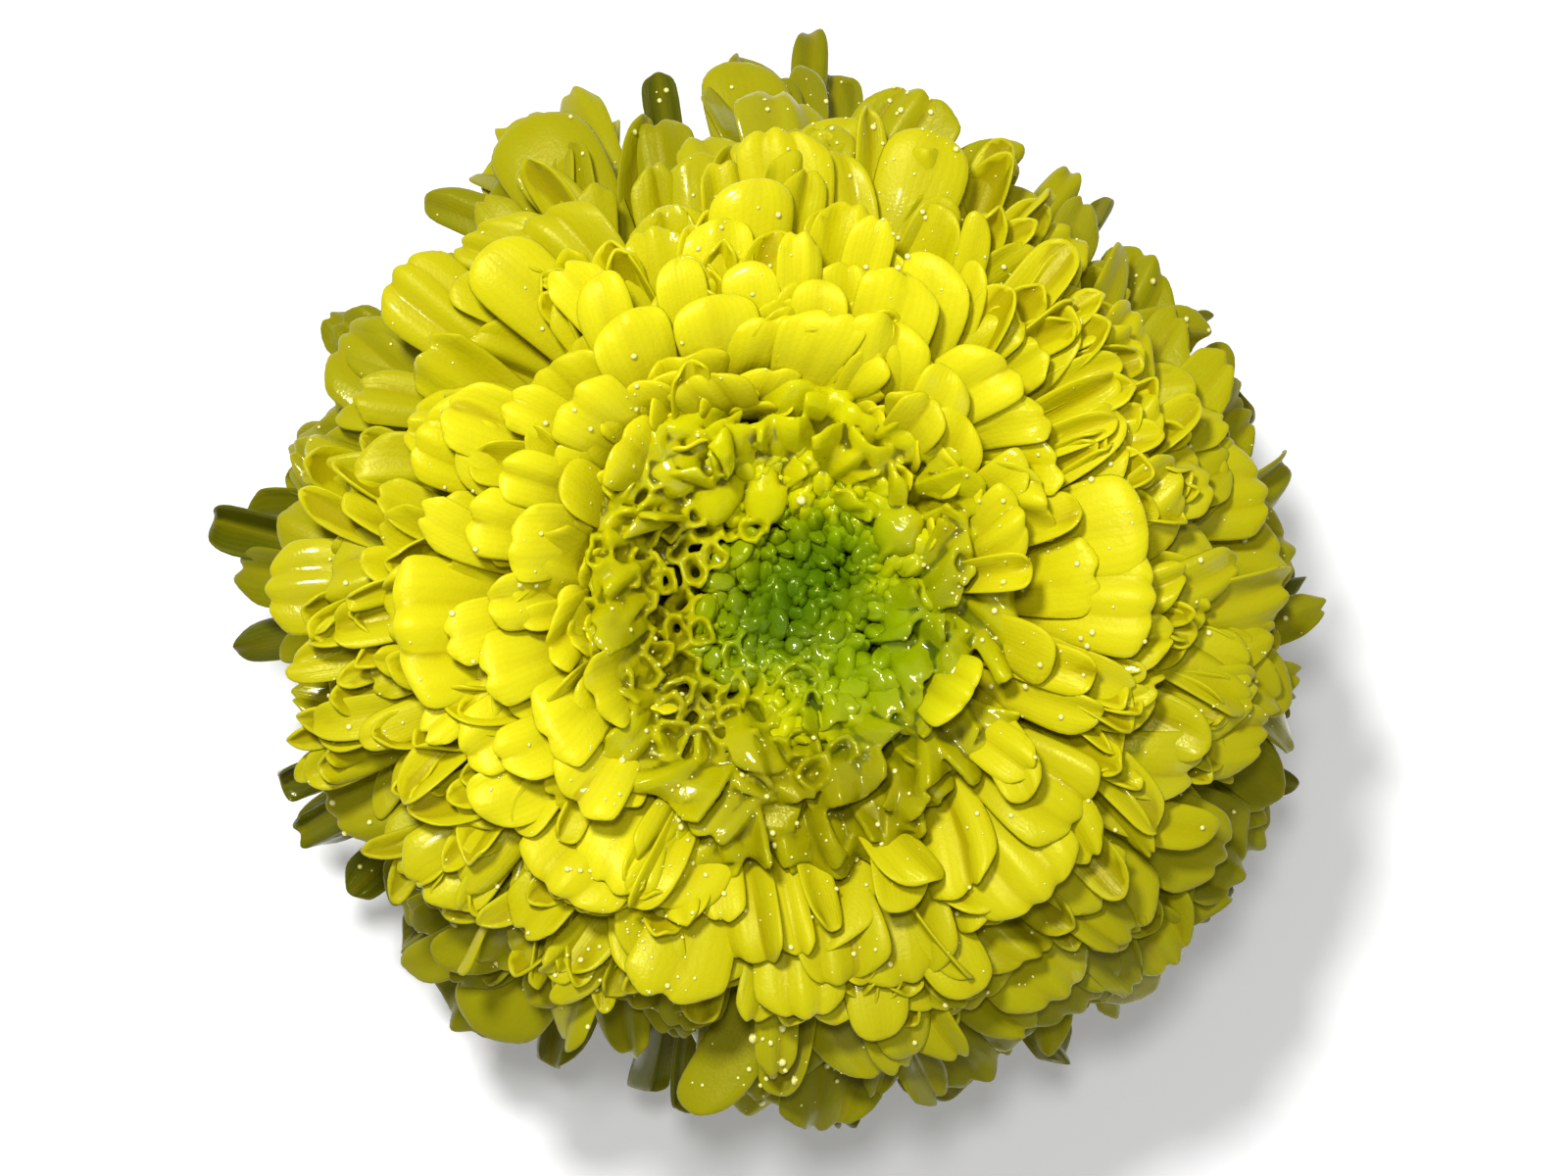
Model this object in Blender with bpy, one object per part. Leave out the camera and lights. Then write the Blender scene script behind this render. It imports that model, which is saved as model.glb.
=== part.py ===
"""A double marigold flower head, picked just below its calyx and set down face up.

Metres, +Z up. The origin is the middle of the cut across the neck, on the surface that the head rests on.
The florets are set out by the golden angle, from the green heart at the top down to the skirt that meets the surface.
"""

import math
import random
from collections import namedtuple

import bmesh
import bpy
from mathutils import Vector

MM = 0.001
GOLDEN_ANGLE = math.pi * (3 - math.sqrt(5))

# The head as a whole: petal tips lie on two half ellipses that meet at the widest level.
HEAD_RADIUS = 39 * MM
WIDEST_LEVEL = 24 * MM
CROWN_RISE = 23 * MM
SKIRT_DROP = 37 * MM
BLADE_THICKNESS = 0.7 * MM
ROOT_DEPTH = 1.6 * MM

# The yellow petals, from the innermost to the lowest.
PETAL_COUNT = 148
PETAL_TIP_ANGLE = (math.radians(23), math.radians(134))
PETAL_CROWDING = 1.28
PETAL_RISE_ANGLE = (math.radians(16), math.radians(108))
PETAL_WIDTH = (8.2 * MM, 11.4 * MM)
PETAL_CUP = (0.14, -0.08)
TIP_JITTER = math.radians(1.2)
FULLNESS = 0.86
HEM_LEVEL = (0.4 * MM, 2.6 * MM)
FEET = 8
# A petal's tip heads this far from upright: a constant, then a share of the tip angle and of its square, in degrees.
END_ANGLE_TERMS = (58, 0.25, 0.0032)
END_ANGLE_JITTER = 6

# The yellow-green collar: curled florets inside, short ruffled petals outside.
COLLAR_COUNT = 38
COLLAR_TIP_RADIUS = (5.3 * MM, 14.7 * MM)
COLLAR_TIP_HEIGHT = (40.9 * MM, 44.4 * MM)
COLLAR_TIP_JITTER = 0.7 * MM
COLLAR_RISE_ANGLE = (math.radians(1), math.radians(13))
COLLAR_END_ANGLE = (math.radians(-52), math.radians(58))
COLLAR_WIDTH = (3.4 * MM, 7.0 * MM)
COLLAR_CUP = (0.06, 0.22)

# The green heart: closed buds on a small mound.
BUD_COUNT = 36
HEART_RADIUS = 5.0 * MM
BUD_RADIUS = 1.0 * MM
BUD_HEIGHT = 1.8 * MM
BUD_RAISED = 0.5 * MM
BUD_LEAN_HEIGHT = 18 * MM
MOUND_RADIUS = 5.9 * MM
MOUND_BASE = 34.5 * MM
MOUND_TOP = 37.4 * MM
MOUND_EDGE = 36.2 * MM

# Turned profiles, (radius, height), each from its lowest point round to its top.
NECK_PROFILE = [(3.3, 0), (3.5, 2.2), (3.7, 5.1), (5.6, 5.1), (6.5, 6.6), (6.4, 8.4), (4.2, 9.9), (0, 10.4)]
BED_PROFILE = [(0, 10.7), (4.4, 10.7), (8.0, 10.9), (9.0, 15), (9.5, 20.2), (9.5, 22.0), (12.2, 24.0),
               (13.9, 26.6), (13.6, 29), (12.8, 30.8), (11.4, 31.6), (0, 31.6)]
BED_ROOTS = [(12.3, 31.0), (13.6, 29), (13.9, 26.6), (12.6, 24.8)]
COLLAR_PROFILE = [(0, 31.9), (10.4, 31.9), (10.9, 33.0), (10.4, 34.3), (6.0, 34.2), (0, 34.2)]
COLLAR_ROOTS = [(6.9, 34.2), (10.1, 34.2)]
NECK_STEPS = 20
BED_STEPS = 20
COLLAR_STEPS = 16
MOUND_STEPS = 12

# The calyx: a ribbed cup of joined bracts, with one tooth to each bract.
BRACT_COUNT = 8
STEPS_PER_BRACT = 6
RIB_HEIGHT = 0.45 * MM
TOOTH_HEIGHT = 2.0 * MM
CALYX_OUTSIDE = [(4.1, 4.0), (5.6, 4.1), (8.0, 6.4), (9.6, 10.2), (10.3, 15), (10.6, 19.6)]
CALYX_INSIDE = [(9.85, 19.6), (9.4, 15), (8.6, 10.2), (7.1, 7.0), (6.0, 4.8), (4.1, 4.8)]

# Rows of points across a blade: (share of its length, share of its half width), three points to a row.
BLADE_ROWS = [(0.0, 0.18), (0.42, 0.62), (0.76, 1.0)]
# The last row ends the blade in two lobes: (share of half width, share of length).
BLADE_TIP = [(-0.72, 0.93), (-0.38, 1.0), (0.0, 0.98), (0.38, 1.0), (0.72, 0.93)]

Stance = namedtuple("Stance", "turn root tip rise_angle end_angle width cup sweep foot")


def clear_scene():
    for thing in list(bpy.data.objects):
        bpy.data.objects.remove(thing)


def finish_of(name, colour, roughness):
    material = bpy.data.materials.new(name)
    material.use_nodes = True
    shader = material.node_tree.nodes["Principled BSDF"]
    shader.inputs["Base Color"].default_value = (*colour, 1)
    shader.inputs["Roughness"].default_value = roughness
    return material


def between(ends, share):
    return ends[0] + (ends[1] - ends[0]) * share


def along(points, share):
    """The point at that share of a line of (radius, height) points."""
    lengths = [math.dist(a, b) for a, b in zip(points, points[1:])]
    left = share * sum(lengths)
    for a, b, length in zip(points, points[1:], lengths):
        if left <= length:
            break
        left -= length
    return (between((a[0], b[0]), left / length) * MM, between((a[1], b[1]), left / length) * MM)


def object_of(name, bm, material):
    bmesh.ops.recalc_face_normals(bm, faces=bm.faces)
    mesh = bpy.data.meshes.new(name)
    bm.to_mesh(mesh)
    bm.free()
    thing = bpy.data.objects.new(name, mesh)
    bpy.context.scene.collection.objects.link(thing)
    mesh.materials.append(material)
    return thing


def turned(name, profile, steps, material):
    """A solid turned from (radius, height) points in millimetres; an end off the axis is closed flat."""
    bm = bmesh.new()
    points = [bm.verts.new((radius * MM, 0, height * MM)) for radius, height in profile]
    edges = [bm.edges.new(pair) for pair in zip(points, points[1:])]
    bmesh.ops.spin(bm, geom=points + edges, cent=(0, 0, 0), axis=(0, 0, 1), angle=math.tau,
                   steps=steps, use_merge=True)
    bmesh.ops.remove_doubles(bm, verts=bm.verts, dist=0.01 * MM)
    rims = [edge for edge in bm.edges if edge.is_boundary]
    if rims:
        bmesh.ops.contextual_create(bm, geom=rims)
    return object_of(name, bm, material)


def blade_line(stance, share):
    """The middle line of a blade at that share of its length: place, direction and upper normal, as
    (radius, height) pairs. It leaves the root at the rise angle and reaches the tip at the end angle."""
    root, tip = Vector(stance.root), Vector(stance.tip)
    reach = (tip - root).length
    start = Vector((math.sin(stance.rise_angle), math.cos(stance.rise_angle)))
    end = Vector((math.sin(stance.end_angle), math.cos(stance.end_angle)))
    s, s2, s3 = share, share ** 2, share ** 3
    place = (root * (2 * s3 - 3 * s2 + 1) + start * reach * (s3 - 2 * s2 + s)
             + tip * (3 * s2 - 2 * s3) + end * reach * (s3 - s2))
    heading = (root * (6 * s2 - 6 * s) + start * reach * (3 * s2 - 4 * s + 1)
               + tip * (6 * s - 6 * s2) + end * reach * (3 * s2 - 2 * s)).normalized()
    return place, Vector((-heading.y, heading.x))


def blade_point(stance, share, across, side):
    """A point of a blade's surface. across runs from -1 to 1 over its full width; side is +1 above, -1 below."""
    place, normal = blade_line(stance, share)
    aside = across * stance.width / 2
    lift = stance.cup * across ** 2 * stance.width / 2 + side * BLADE_THICKNESS / 2
    radius, height = place + normal * lift
    turn = stance.turn + stance.sweep * share
    outward = Vector((math.cos(turn), math.sin(turn), 0))
    sideways = Vector((-math.sin(turn), math.cos(turn), 0))
    return outward * radius + sideways * aside + Vector((0, 0, height))


def settled(points, shares, foot):
    """Bends a blade up where it would pass below the surface, and brings a foot's tip down onto it."""
    for _ in range(4):
        lowest = min(range(len(points)), key=lambda k: points[k].z)
        drop = points[lowest].z
        if drop >= 0 and not foot:
            break
        for point, share in zip(points, shares):
            point.z -= drop * (share / shares[lowest]) ** 2
    return points


def blade(stance):
    """One closed blade: the same triangles above and below, and a wall round its edge."""
    places = [(share, across * half) for share, half in BLADE_ROWS for across in (-1, 0, 1)]
    places += [(share, across) for across, share in BLADE_TIP]
    count = len(places)
    points = [blade_point(stance, share, across, side) for side in (1, -1) for share, across in places]
    points = settled(points, [share for share, _ in places] * 2, stance.foot)

    skin = []
    for row in range(len(BLADE_ROWS) - 1):
        left, middle, right = (3 * row + k for k in range(3))
        skin += [(left, middle, left + 3), (middle, middle + 3, left + 3),
                 (middle, right, right + 3), (middle, right + 3, middle + 3)]
    left, middle, right = (count - 8 + k for k in range(3))
    lobes = [count - 5 + k for k in range(5)]
    skin += [(left, middle, lobes[1]), (left, lobes[1], lobes[0]), (middle, lobes[2], lobes[1]),
             (middle, lobes[3], lobes[2]), (middle, right, lobes[3]), (right, lobes[4], lobes[3])]
    rows = range(len(BLADE_ROWS))
    outline = [3 * row for row in rows] + lobes + [3 * row + 2 for row in reversed(rows)] + [1]
    wall = []
    for a, b in zip(outline, outline[1:] + outline[:1]):
        wall += [(a, b, b + count), (a, b + count, a + count)]

    bm = bmesh.new()
    corners = [bm.verts.new(point) for point in points]
    for a, b, c in skin:
        bm.faces.new((corners[a], corners[b], corners[c]))
        bm.faces.new((corners[c + count], corners[b + count], corners[a + count]))
    for triple in wall:
        bm.faces.new([corners[k] for k in triple])
    return bm


def bud(place, tilt, height):
    """One closed bud: a small egg, six sided, leaning outwards."""
    bm = bmesh.new()
    bmesh.ops.create_uvsphere(bm, u_segments=6, v_segments=3, radius=1)
    bmesh.ops.scale(bm, verts=bm.verts, vec=(BUD_RADIUS, BUD_RADIUS, height))
    lean = Vector((0, 0, 1)).rotation_difference(tilt)
    bmesh.ops.rotate(bm, verts=bm.verts, cent=(0, 0, 0), matrix=lean.to_matrix())
    bmesh.ops.translate(bm, verts=bm.verts, vec=place)
    return bm


def fused(core, shapes, material):
    """Joins the shapes to the core in one Boolean union."""
    gathered = bpy.data.collections.new(core.name + "_repeats")
    bpy.context.scene.collection.children.link(gathered)
    for number, bm in enumerate(shapes):
        repeat = object_of(f"{core.name}_{number}", bm, material)
        bpy.context.scene.collection.objects.unlink(repeat)
        gathered.objects.link(repeat)
    union = core.modifiers.new("Join", "BOOLEAN")
    union.operation = "UNION"
    union.operand_type = "COLLECTION"
    union.collection = gathered
    union.solver = "MANIFOLD"
    joined = bpy.data.meshes.new_from_object(core.evaluated_get(bpy.context.evaluated_depsgraph_get()))
    core.modifiers.clear()
    core.data = joined
    for repeat in list(gathered.objects):
        bpy.data.objects.remove(repeat)
    bpy.data.collections.remove(gathered)


def sunk(root, rise_angle):
    """The root moved back along its own direction, into what it grows from."""
    return (root[0] - math.sin(rise_angle) * ROOT_DEPTH, root[1] - math.cos(rise_angle) * ROOT_DEPTH)


def petal_stance(number, dice):
    share = ((number + 0.5) / PETAL_COUNT) ** PETAL_CROWDING
    cosine = between([math.cos(angle) for angle in PETAL_TIP_ANGLE], share)
    tip_angle = math.acos(cosine) + dice.uniform(-TIP_JITTER, TIP_JITTER)
    stretch = 1 + dice.uniform(-0.03, 0.03)
    half_height = CROWN_RISE if tip_angle < math.pi / 2 else SKIRT_DROP
    level = math.copysign(abs(math.cos(tip_angle)) ** FULLNESS, math.cos(tip_angle))
    tip = (HEAD_RADIUS * stretch * math.sin(tip_angle) ** FULLNESS,
           max(WIDEST_LEVEL + half_height * level, dice.uniform(*HEM_LEVEL)))
    rise_angle = between(PETAL_RISE_ANGLE, share)
    degrees = math.degrees(tip_angle)
    leaning = sum(term * degrees ** power for power, term in enumerate(END_ANGLE_TERMS))
    return Stance(
        turn=number * GOLDEN_ANGLE + math.radians(dice.uniform(-2, 2)),
        root=sunk(along(BED_ROOTS, share), rise_angle),
        tip=tip,
        rise_angle=rise_angle,
        end_angle=math.radians(leaning + dice.uniform(-END_ANGLE_JITTER, END_ANGLE_JITTER)),
        width=between(PETAL_WIDTH, share) * dice.uniform(0.86, 1.1),
        cup=between(PETAL_CUP, share),
        sweep=math.radians(dice.uniform(-3, 3)),
        foot=number >= PETAL_COUNT - FEET,
    )


def collar_stance(number, dice):
    share = (number + 0.5) / COLLAR_COUNT
    rise_angle = between(COLLAR_RISE_ANGLE, share)
    return Stance(
        turn=number * GOLDEN_ANGLE,
        root=sunk(along(COLLAR_ROOTS, share), rise_angle),
        tip=(between(COLLAR_TIP_RADIUS, share),
             between(COLLAR_TIP_HEIGHT, share) + dice.uniform(-COLLAR_TIP_JITTER, COLLAR_TIP_JITTER)),
        rise_angle=rise_angle,
        end_angle=between(COLLAR_END_ANGLE, share),
        width=between(COLLAR_WIDTH, share) * dice.uniform(0.85, 1.15),
        cup=between(COLLAR_CUP, share),
        sweep=math.radians(dice.uniform(-4, 4)),
        foot=False,
    )


def make_receptacle(material):
    """The swollen neck below the head, cut across flat, and the boss that it ends in inside the calyx."""
    turned("receptacle", NECK_PROFILE, NECK_STEPS, material)


def make_calyx(material):
    """The cup of joined bracts: each bract has a rib down its middle and a tooth at the rim."""
    outline = CALYX_OUTSIDE + CALYX_INSIDE
    rim_rows = (len(CALYX_OUTSIDE) - 1, len(CALYX_OUTSIDE))
    steps = BRACT_COUNT * STEPS_PER_BRACT
    bm = bmesh.new()
    rings = []
    for step in range(steps):
        turn = math.tau * step / steps
        ridge = (1 + math.cos(turn * BRACT_COUNT)) / 2
        ring = []
        for row, (radius, height) in enumerate(outline):
            swell = RIB_HEIGHT * ridge if 0 < row < len(CALYX_OUTSIDE) else 0
            tooth = TOOTH_HEIGHT * ridge if row in rim_rows else 0
            reach = radius * MM + swell
            ring.append(bm.verts.new((math.cos(turn) * reach, math.sin(turn) * reach, height * MM + tooth)))
        rings.append(ring)
    for ring, following in zip(rings, rings[1:] + rings[:1]):
        for k in range(len(outline)):
            after = (k + 1) % len(outline)
            bm.faces.new((ring[k], following[k], following[after], ring[after]))
    bmesh.ops.triangulate(bm, faces=bm.faces)
    object_of("calyx", bm, material)


def make_petals(material):
    dice = random.Random(11)
    bed = turned("petals", BED_PROFILE, BED_STEPS, material)
    fused(bed, [blade(petal_stance(number, dice)) for number in range(PETAL_COUNT)], material)


def make_collar(material):
    dice = random.Random(23)
    bed = turned("collar_florets", COLLAR_PROFILE, COLLAR_STEPS, material)
    fused(bed, [blade(collar_stance(number, dice)) for number in range(COLLAR_COUNT)], material)


def mound_height(radius):
    return MOUND_TOP - (MOUND_TOP - MOUND_EDGE) * (radius / MOUND_RADIUS) ** 2


def make_heart(material):
    dice = random.Random(37)
    dome = [(reach / MM, mound_height(reach) / MM) for reach in (MOUND_RADIUS, MOUND_RADIUS / 2, 0)]
    mound = turned("heart_florets", [(0, MOUND_BASE / MM), (MOUND_RADIUS / MM, MOUND_BASE / MM)] + dome,
                   MOUND_STEPS, material)
    buds = []
    for number in range(BUD_COUNT):
        reach = HEART_RADIUS * math.sqrt((number + 0.5) / BUD_COUNT)
        turn = number * GOLDEN_ANGLE
        place = Vector((math.cos(turn) * reach, math.sin(turn) * reach, mound_height(reach) + BUD_RAISED))
        tilt = Vector((math.cos(turn) * reach, math.sin(turn) * reach, BUD_LEAN_HEIGHT))
        buds.append(bud(place, tilt, BUD_HEIGHT * dice.uniform(0.85, 1.15)))
    fused(mound, buds, material)


def main():
    clear_scene()
    make_receptacle(finish_of("neck_green", (0.36, 0.50, 0.16), 0.55))
    make_calyx(finish_of("calyx_green", (0.16, 0.31, 0.06), 0.5))
    make_petals(finish_of("lemon_petal", (0.78, 0.68, 0.03), 0.4))
    make_collar(finish_of("yellow_green_petal", (0.50, 0.58, 0.02), 0.4))
    make_heart(finish_of("heart_green", (0.16, 0.40, 0.02), 0.35))


main()
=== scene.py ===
"""The looks of a double marigold flower head, wet from rain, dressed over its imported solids."""

import math
import random
from collections import namedtuple

import bmesh
import bpy
import numpy as np
from mathutils import Matrix, Vector
from mathutils.bvhtree import BVHTree


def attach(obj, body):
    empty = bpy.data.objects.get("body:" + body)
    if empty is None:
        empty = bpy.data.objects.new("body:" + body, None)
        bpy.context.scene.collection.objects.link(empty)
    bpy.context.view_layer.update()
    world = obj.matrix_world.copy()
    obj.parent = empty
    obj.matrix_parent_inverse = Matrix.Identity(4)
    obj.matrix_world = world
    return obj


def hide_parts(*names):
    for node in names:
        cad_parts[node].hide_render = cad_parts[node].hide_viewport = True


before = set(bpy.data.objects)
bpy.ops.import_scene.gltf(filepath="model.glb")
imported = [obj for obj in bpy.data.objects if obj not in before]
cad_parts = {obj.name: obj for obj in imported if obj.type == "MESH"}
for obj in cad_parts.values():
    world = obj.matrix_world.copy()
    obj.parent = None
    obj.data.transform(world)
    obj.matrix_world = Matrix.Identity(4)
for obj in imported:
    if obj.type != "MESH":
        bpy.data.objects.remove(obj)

MM = 0.001
GOLDEN_ANGLE = math.pi * (3 - math.sqrt(5))
GOLDEN_SHARE = (math.sqrt(5) - 1) / 2
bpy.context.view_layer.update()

# Values without a unit below are millimetres, and clocks are degrees from +X towards +Y.

# The head's form, as its solids have it: petal tips lie on two half ellipses that meet at the widest level.
HEAD_RADIUS = 38.2 * MM
WIDEST_LEVEL = 24 * MM
CROWN_RISE = 22.4 * MM
SKIRT_DROP = 37 * MM
FULLNESS = 0.86
BED_ROOTS = [(12.3, 31.0), (13.6, 29.0), (13.9, 26.6), (12.6, 24.8)]
COLLAR_ROOTS = [(6.9, 34.2), (10.1, 34.2)]
BED_PROFILE = [(8.0, 11.0), (9.0, 15.0), (9.5, 20.2), (9.6, 22.2), (12.2, 24.2), (13.6, 26.8), (13.2, 29.2),
               (12.2, 31.0), (10.6, 33.0), (9.0, 34.2), (6.0, 35.0), (3.0, 36.4), (0.3, 36.9)]

# The crown's girth by the clock: the real head isn't quite round.
GIRTH = [(0, 1.03), (30, 0.97), (60, 0.92), (85, 1.0), (104, 0.91), (120, 0.99), (136, 0.84), (152, 0.95),
         (180, 0.93), (192, 0.88), (210, 0.96), (222, 0.88), (238, 1.0), (252, 0.88), (264, 0.96),
         (276, 1.05), (296, 1.02), (312, 1.07), (324, 1.10), (334, 1.08), (346, 1.09)]

PETAL_COUNT = 600
PETAL_TIP_ANGLE = (math.radians(22), math.radians(134))
PETAL_CROWDING = 1.18
PETAL_RISE_ANGLE = (math.radians(-8), math.radians(108))
PETAL_GROWTH = (0.86, 1.08)
PETAL_THICKNESS = 0.31 * MM
END_ANGLE_TERMS = (66, 0.20, 0.0028)
TIERS = 6
TIERS_KEPT = 0.6
# The reach that counts as the widest where a tier is chosen.
FULL_REACH = 41.3

# No petal passes the top or the floor: it eases to a stop near them.
SETTLE = 0.5 * MM
FLOOR_GAP = 0.25 * MM
TOP = 46.6 * MM

# How much painted shade darkens a petal: by its tip's depth below a level, and more beyond a radius on the
# lower side, away from the light, but at most so much; some petals take a random dulling on top. Below the
# skirt's level part of that painted shade is taken back.
SHADE_LEVEL, SHADE_FALL = 43.5 * MM, 26 * MM
DARKEST_SHADE = 0.68
SHADE_CLOCK = math.radians(292)
SHADE_SIDE = 0.22
SHADE_SIDE_START, SHADE_SIDE_SPAN = 19 * MM, 12 * MM
SKIRT_LEVEL, SKIRT_SPAN = 18 * MM, 9 * MM
SKIRT_RELIEF = 0.5
DULL_LUCK = 0.12

# A petal's stance: the turn of its root, (radius, height) of root and tip, the angles off the axis at which
# it leaves the one and reaches the other, its width, and how it bends in its own way.
BENDS = ["cup", "sweep", "twist", "ruffle", "frill", "skew"]
Stance = namedtuple("Stance", ["turn", "root", "tip", "rise_angle", "end_angle", "width", *BENDS, "phase"])

# How petals of a kind bend: ranges of cup, ruffle and frill, and how far sweep and twist, both in degrees,
# and skew stray to either side.
Manner = namedtuple("Manner", BENDS, defaults=[None])
MANNERS = {
    "petal": Manner((-0.20, 0.24), 13, 20, (0.04, 0.26), (0.03, 0.20), 0.26),
    "crowded": Manner((-0.3, 0.6), 10, 30, (0.05, 0.25), (0.05, 0.25)),
    "ray": Manner((-0.20, 0.15), 9, 9, (0.04, 0.14), (0.04, 0.18)),
    "collar": Manner((-0.25, 0.25), 20, 20, (0.12, 0.34), (0.10, 0.34), 0.25),
    "hanging": Manner((-0.1, 0.2), 12, 14, (0.16, 0.32), (0.20, 0.40), 0.2),
    "inner": Manner((-0.2, 0.3), 12, 20, (0.06, 0.18), (0.02, 0.14), 0.2),
    "rim": Manner((-0.5, 0.5), 3, 34, (0.25, 0.50), (0.20, 0.50), 0.2),
}

# Ruffles run along an edge, aslant and stronger outwards; a frill runs across the tip.
RUFFLE_WAVES = 9
RUFFLE_SLANT = 2.2
RUFFLE_BEND = 1.5
FRILL_WAVES = 5.5
FRILL_PHASE = 1.7

# Where along its length a petal's rows lie, closer together towards the tip, which they round off.
STATIONS = (0, 0.22, 0.42, 0.60, 0.75, 0.86, 0.93, 0.975, 1.0)

# The cuts that the petals come in. crown is how far the tip's corners fall back; notch is how deep its
# lobes are parted; grooves are the columns that a flute runs down, depth deep; rolled lifts both edges;
# curl turns the tip down; widths is the share of full width at each row.
Cut = namedtuple("Cut", "across crown lobes notch grooves depth rolled curl widths")
CUTS = {
    "broad": Cut(12, 0.035, 3, 0.022, (4, 8), 0.13, -0.07, 0.10,
                 (0.34, 0.40, 0.53, 0.72, 0.90, 1.0, 0.98, 0.88, 0.66)),
    "twin": Cut(8, 0.025, 2, 0.045, (4,), 0.15, -0.06, 0.08,
                (0.32, 0.38, 0.51, 0.69, 0.87, 0.98, 0.99, 0.90, 0.68)),
    "spoon": Cut(6, 0.015, 1, 0.0, (3,), 0.09, -0.10, 0.12,
                 (0.38, 0.44, 0.56, 0.75, 0.92, 1.0, 0.94, 0.74, 0.40)),
    "strap": Cut(8, 0.02, 2, 0.024, (4,), 0.15, -0.04, 0.08,
                 (0.47, 0.53, 0.66, 0.82, 0.95, 1.0, 0.96, 0.82, 0.54)),
    "finger": Cut(4, 0.01, 1, 0.0, (2,), 0.22, -0.10, 0.14,
                  (0.50, 0.54, 0.65, 0.82, 0.95, 1.0, 0.94, 0.74, 0.40)),
    "quill": Cut(6, 0.03, 1, 0.0, (3,), 0.05, 0.60, -0.05,
                 (0.50, 0.50, 0.58, 0.71, 0.84, 0.92, 0.90, 0.79, 0.50)),
    "boat": Cut(4, 0.02, 1, 0.0, (2,), 0.18, 0.22, -0.02,
                (0.44, 0.50, 0.62, 0.80, 0.95, 1.0, 0.93, 0.74, 0.40)),
    "ruffled": Cut(14, 0.05, 3, 0.05, (5, 9), 0.12, 0.10, 0.04,
                   (0.42, 0.45, 0.53, 0.65, 0.80, 0.92, 0.99, 1.0, 0.96)),
    "lobe": Cut(8, 0.02, 1, 0.0, (4,), 0.06, -0.16, 0.12,
                (0.50, 0.55, 0.63, 0.78, 0.95, 1.0, 0.93, 0.76, 0.42)),
}
FLUTE_TIGHTNESS = 0.9
# How many rows short of the tip, and how much of the lobes or the curl such a row takes.
LOBED_ROWS = ((2, 0.3), (1, 0.7), (0, 1.0))
CURLED_ROWS = ((1, 0.45), (0, 1.0))

# How often each cut comes up, and its least and greatest width.
YELLOW_MIX = {"broad": (0.20, 6.0, 9.2), "twin": (0.18, 4.8, 7.4), "spoon": (0.20, 3.6, 6.0),
              "strap": (0.20, 3.6, 5.6), "finger": (0.06, 2.4, 3.4), "quill": (0.03, 2.6, 4.0),
              "boat": (0.08, 2.6, 4.4)}
CROWDED_CUTS = ("boat", "boat", "finger")
FLAT_CUTS = ("spoon", "strap", "twin")
COLLAR_CUTS = ("ruffled", "lobe")

# Petals that stand out on this head: clock, reach of the tip, width, cut, the tip's lift above its
# neighbours.
SHOWPIECES = [
    (188, 27.0, 11.0, "broad", 2.2), (236, 26.4, 8.6, "broad", 1.6), (156, 27.5, 7.0, "broad", 1.4),
    (86, 32.4, 7.0, "broad", 1.4), (97, 28.5, 6.4, "spoon", 1.6), (272, 30.2, 6.6, "broad", 1.6),
    (285, 32.6, 4.8, "finger", 2.0), (293, 31.8, 5.0, "finger", 1.6), (311, 28.6, 8.8, "broad", 2.0),
    (358, 26.0, 8.0, "broad", 2.0), (11, 25.8, 7.6, "spoon", 1.6), (4, 37.6, 8.8, "broad", 1.2),
    (327, 38.0, 6.6, "spoon", 1.0), (320, 36.4, 7.6, "twin", 1.4), (258, 30.0, 7.6, "twin", 1.8),
    (274, 38.8, 9.6, "broad", 0.6), (238, 38.8, 7.6, "spoon", 0.6), (116, 38.6, 8.2, "spoon", 0.6),
    (90, 38.6, 6.8, "spoon", 0.4), (14, 36.4, 7.4, "broad", 1.0), (178, 36.2, 7.0, "broad", 1.0),
    (346, 34.6, 7.6, "broad", 1.4), (302, 36.2, 8.2, "broad", 1.0), (222, 33.2, 7.0, "twin", 1.2),
    (128, 31.4, 6.2, "spoon", 1.4), (140, 35.2, 7.0, "broad", 1.0), (70, 34.4, 6.8, "spoon", 1.0),
]
# They are set out on a head this much wider, and droop a little more than their neighbours.
SHOWPIECE_SPAN = HEAD_RADIUS * 1.02
SHOWPIECE_DROOP = math.radians(8)

# Where small florets crowd together: clock and reach.
CLUSTERS = [(203, 29.0), (214, 27.2), (222, 31.4), (247, 25.0), (238, 29.6), (250, 31.2), (50, 28.2),
            (41, 28.6), (22, 29.3), (15, 26.6), (348, 33.4), (342, 36.6), (341, 27.7), (175, 31.8),
            (185, 32.0), (104, 23.8), (70, 21.0), (126, 27.3), (320, 37.6), (286, 29.8), (62, 33.4),
            (196, 35.4)]
CLUSTER_SIZE = 9
CLUSTER_SCATTER = (4.5, 2.0)

# Long petals that lie out flat from the collar on its bright side, made lighter than the rest as painted
# light.
RAY_COUNT = 34
RAY_CLOCKS = (44, 236)
RAY_REACH = (19.0, 27.5)
RAY_PAINTED_LIGHT = 1.8
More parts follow.
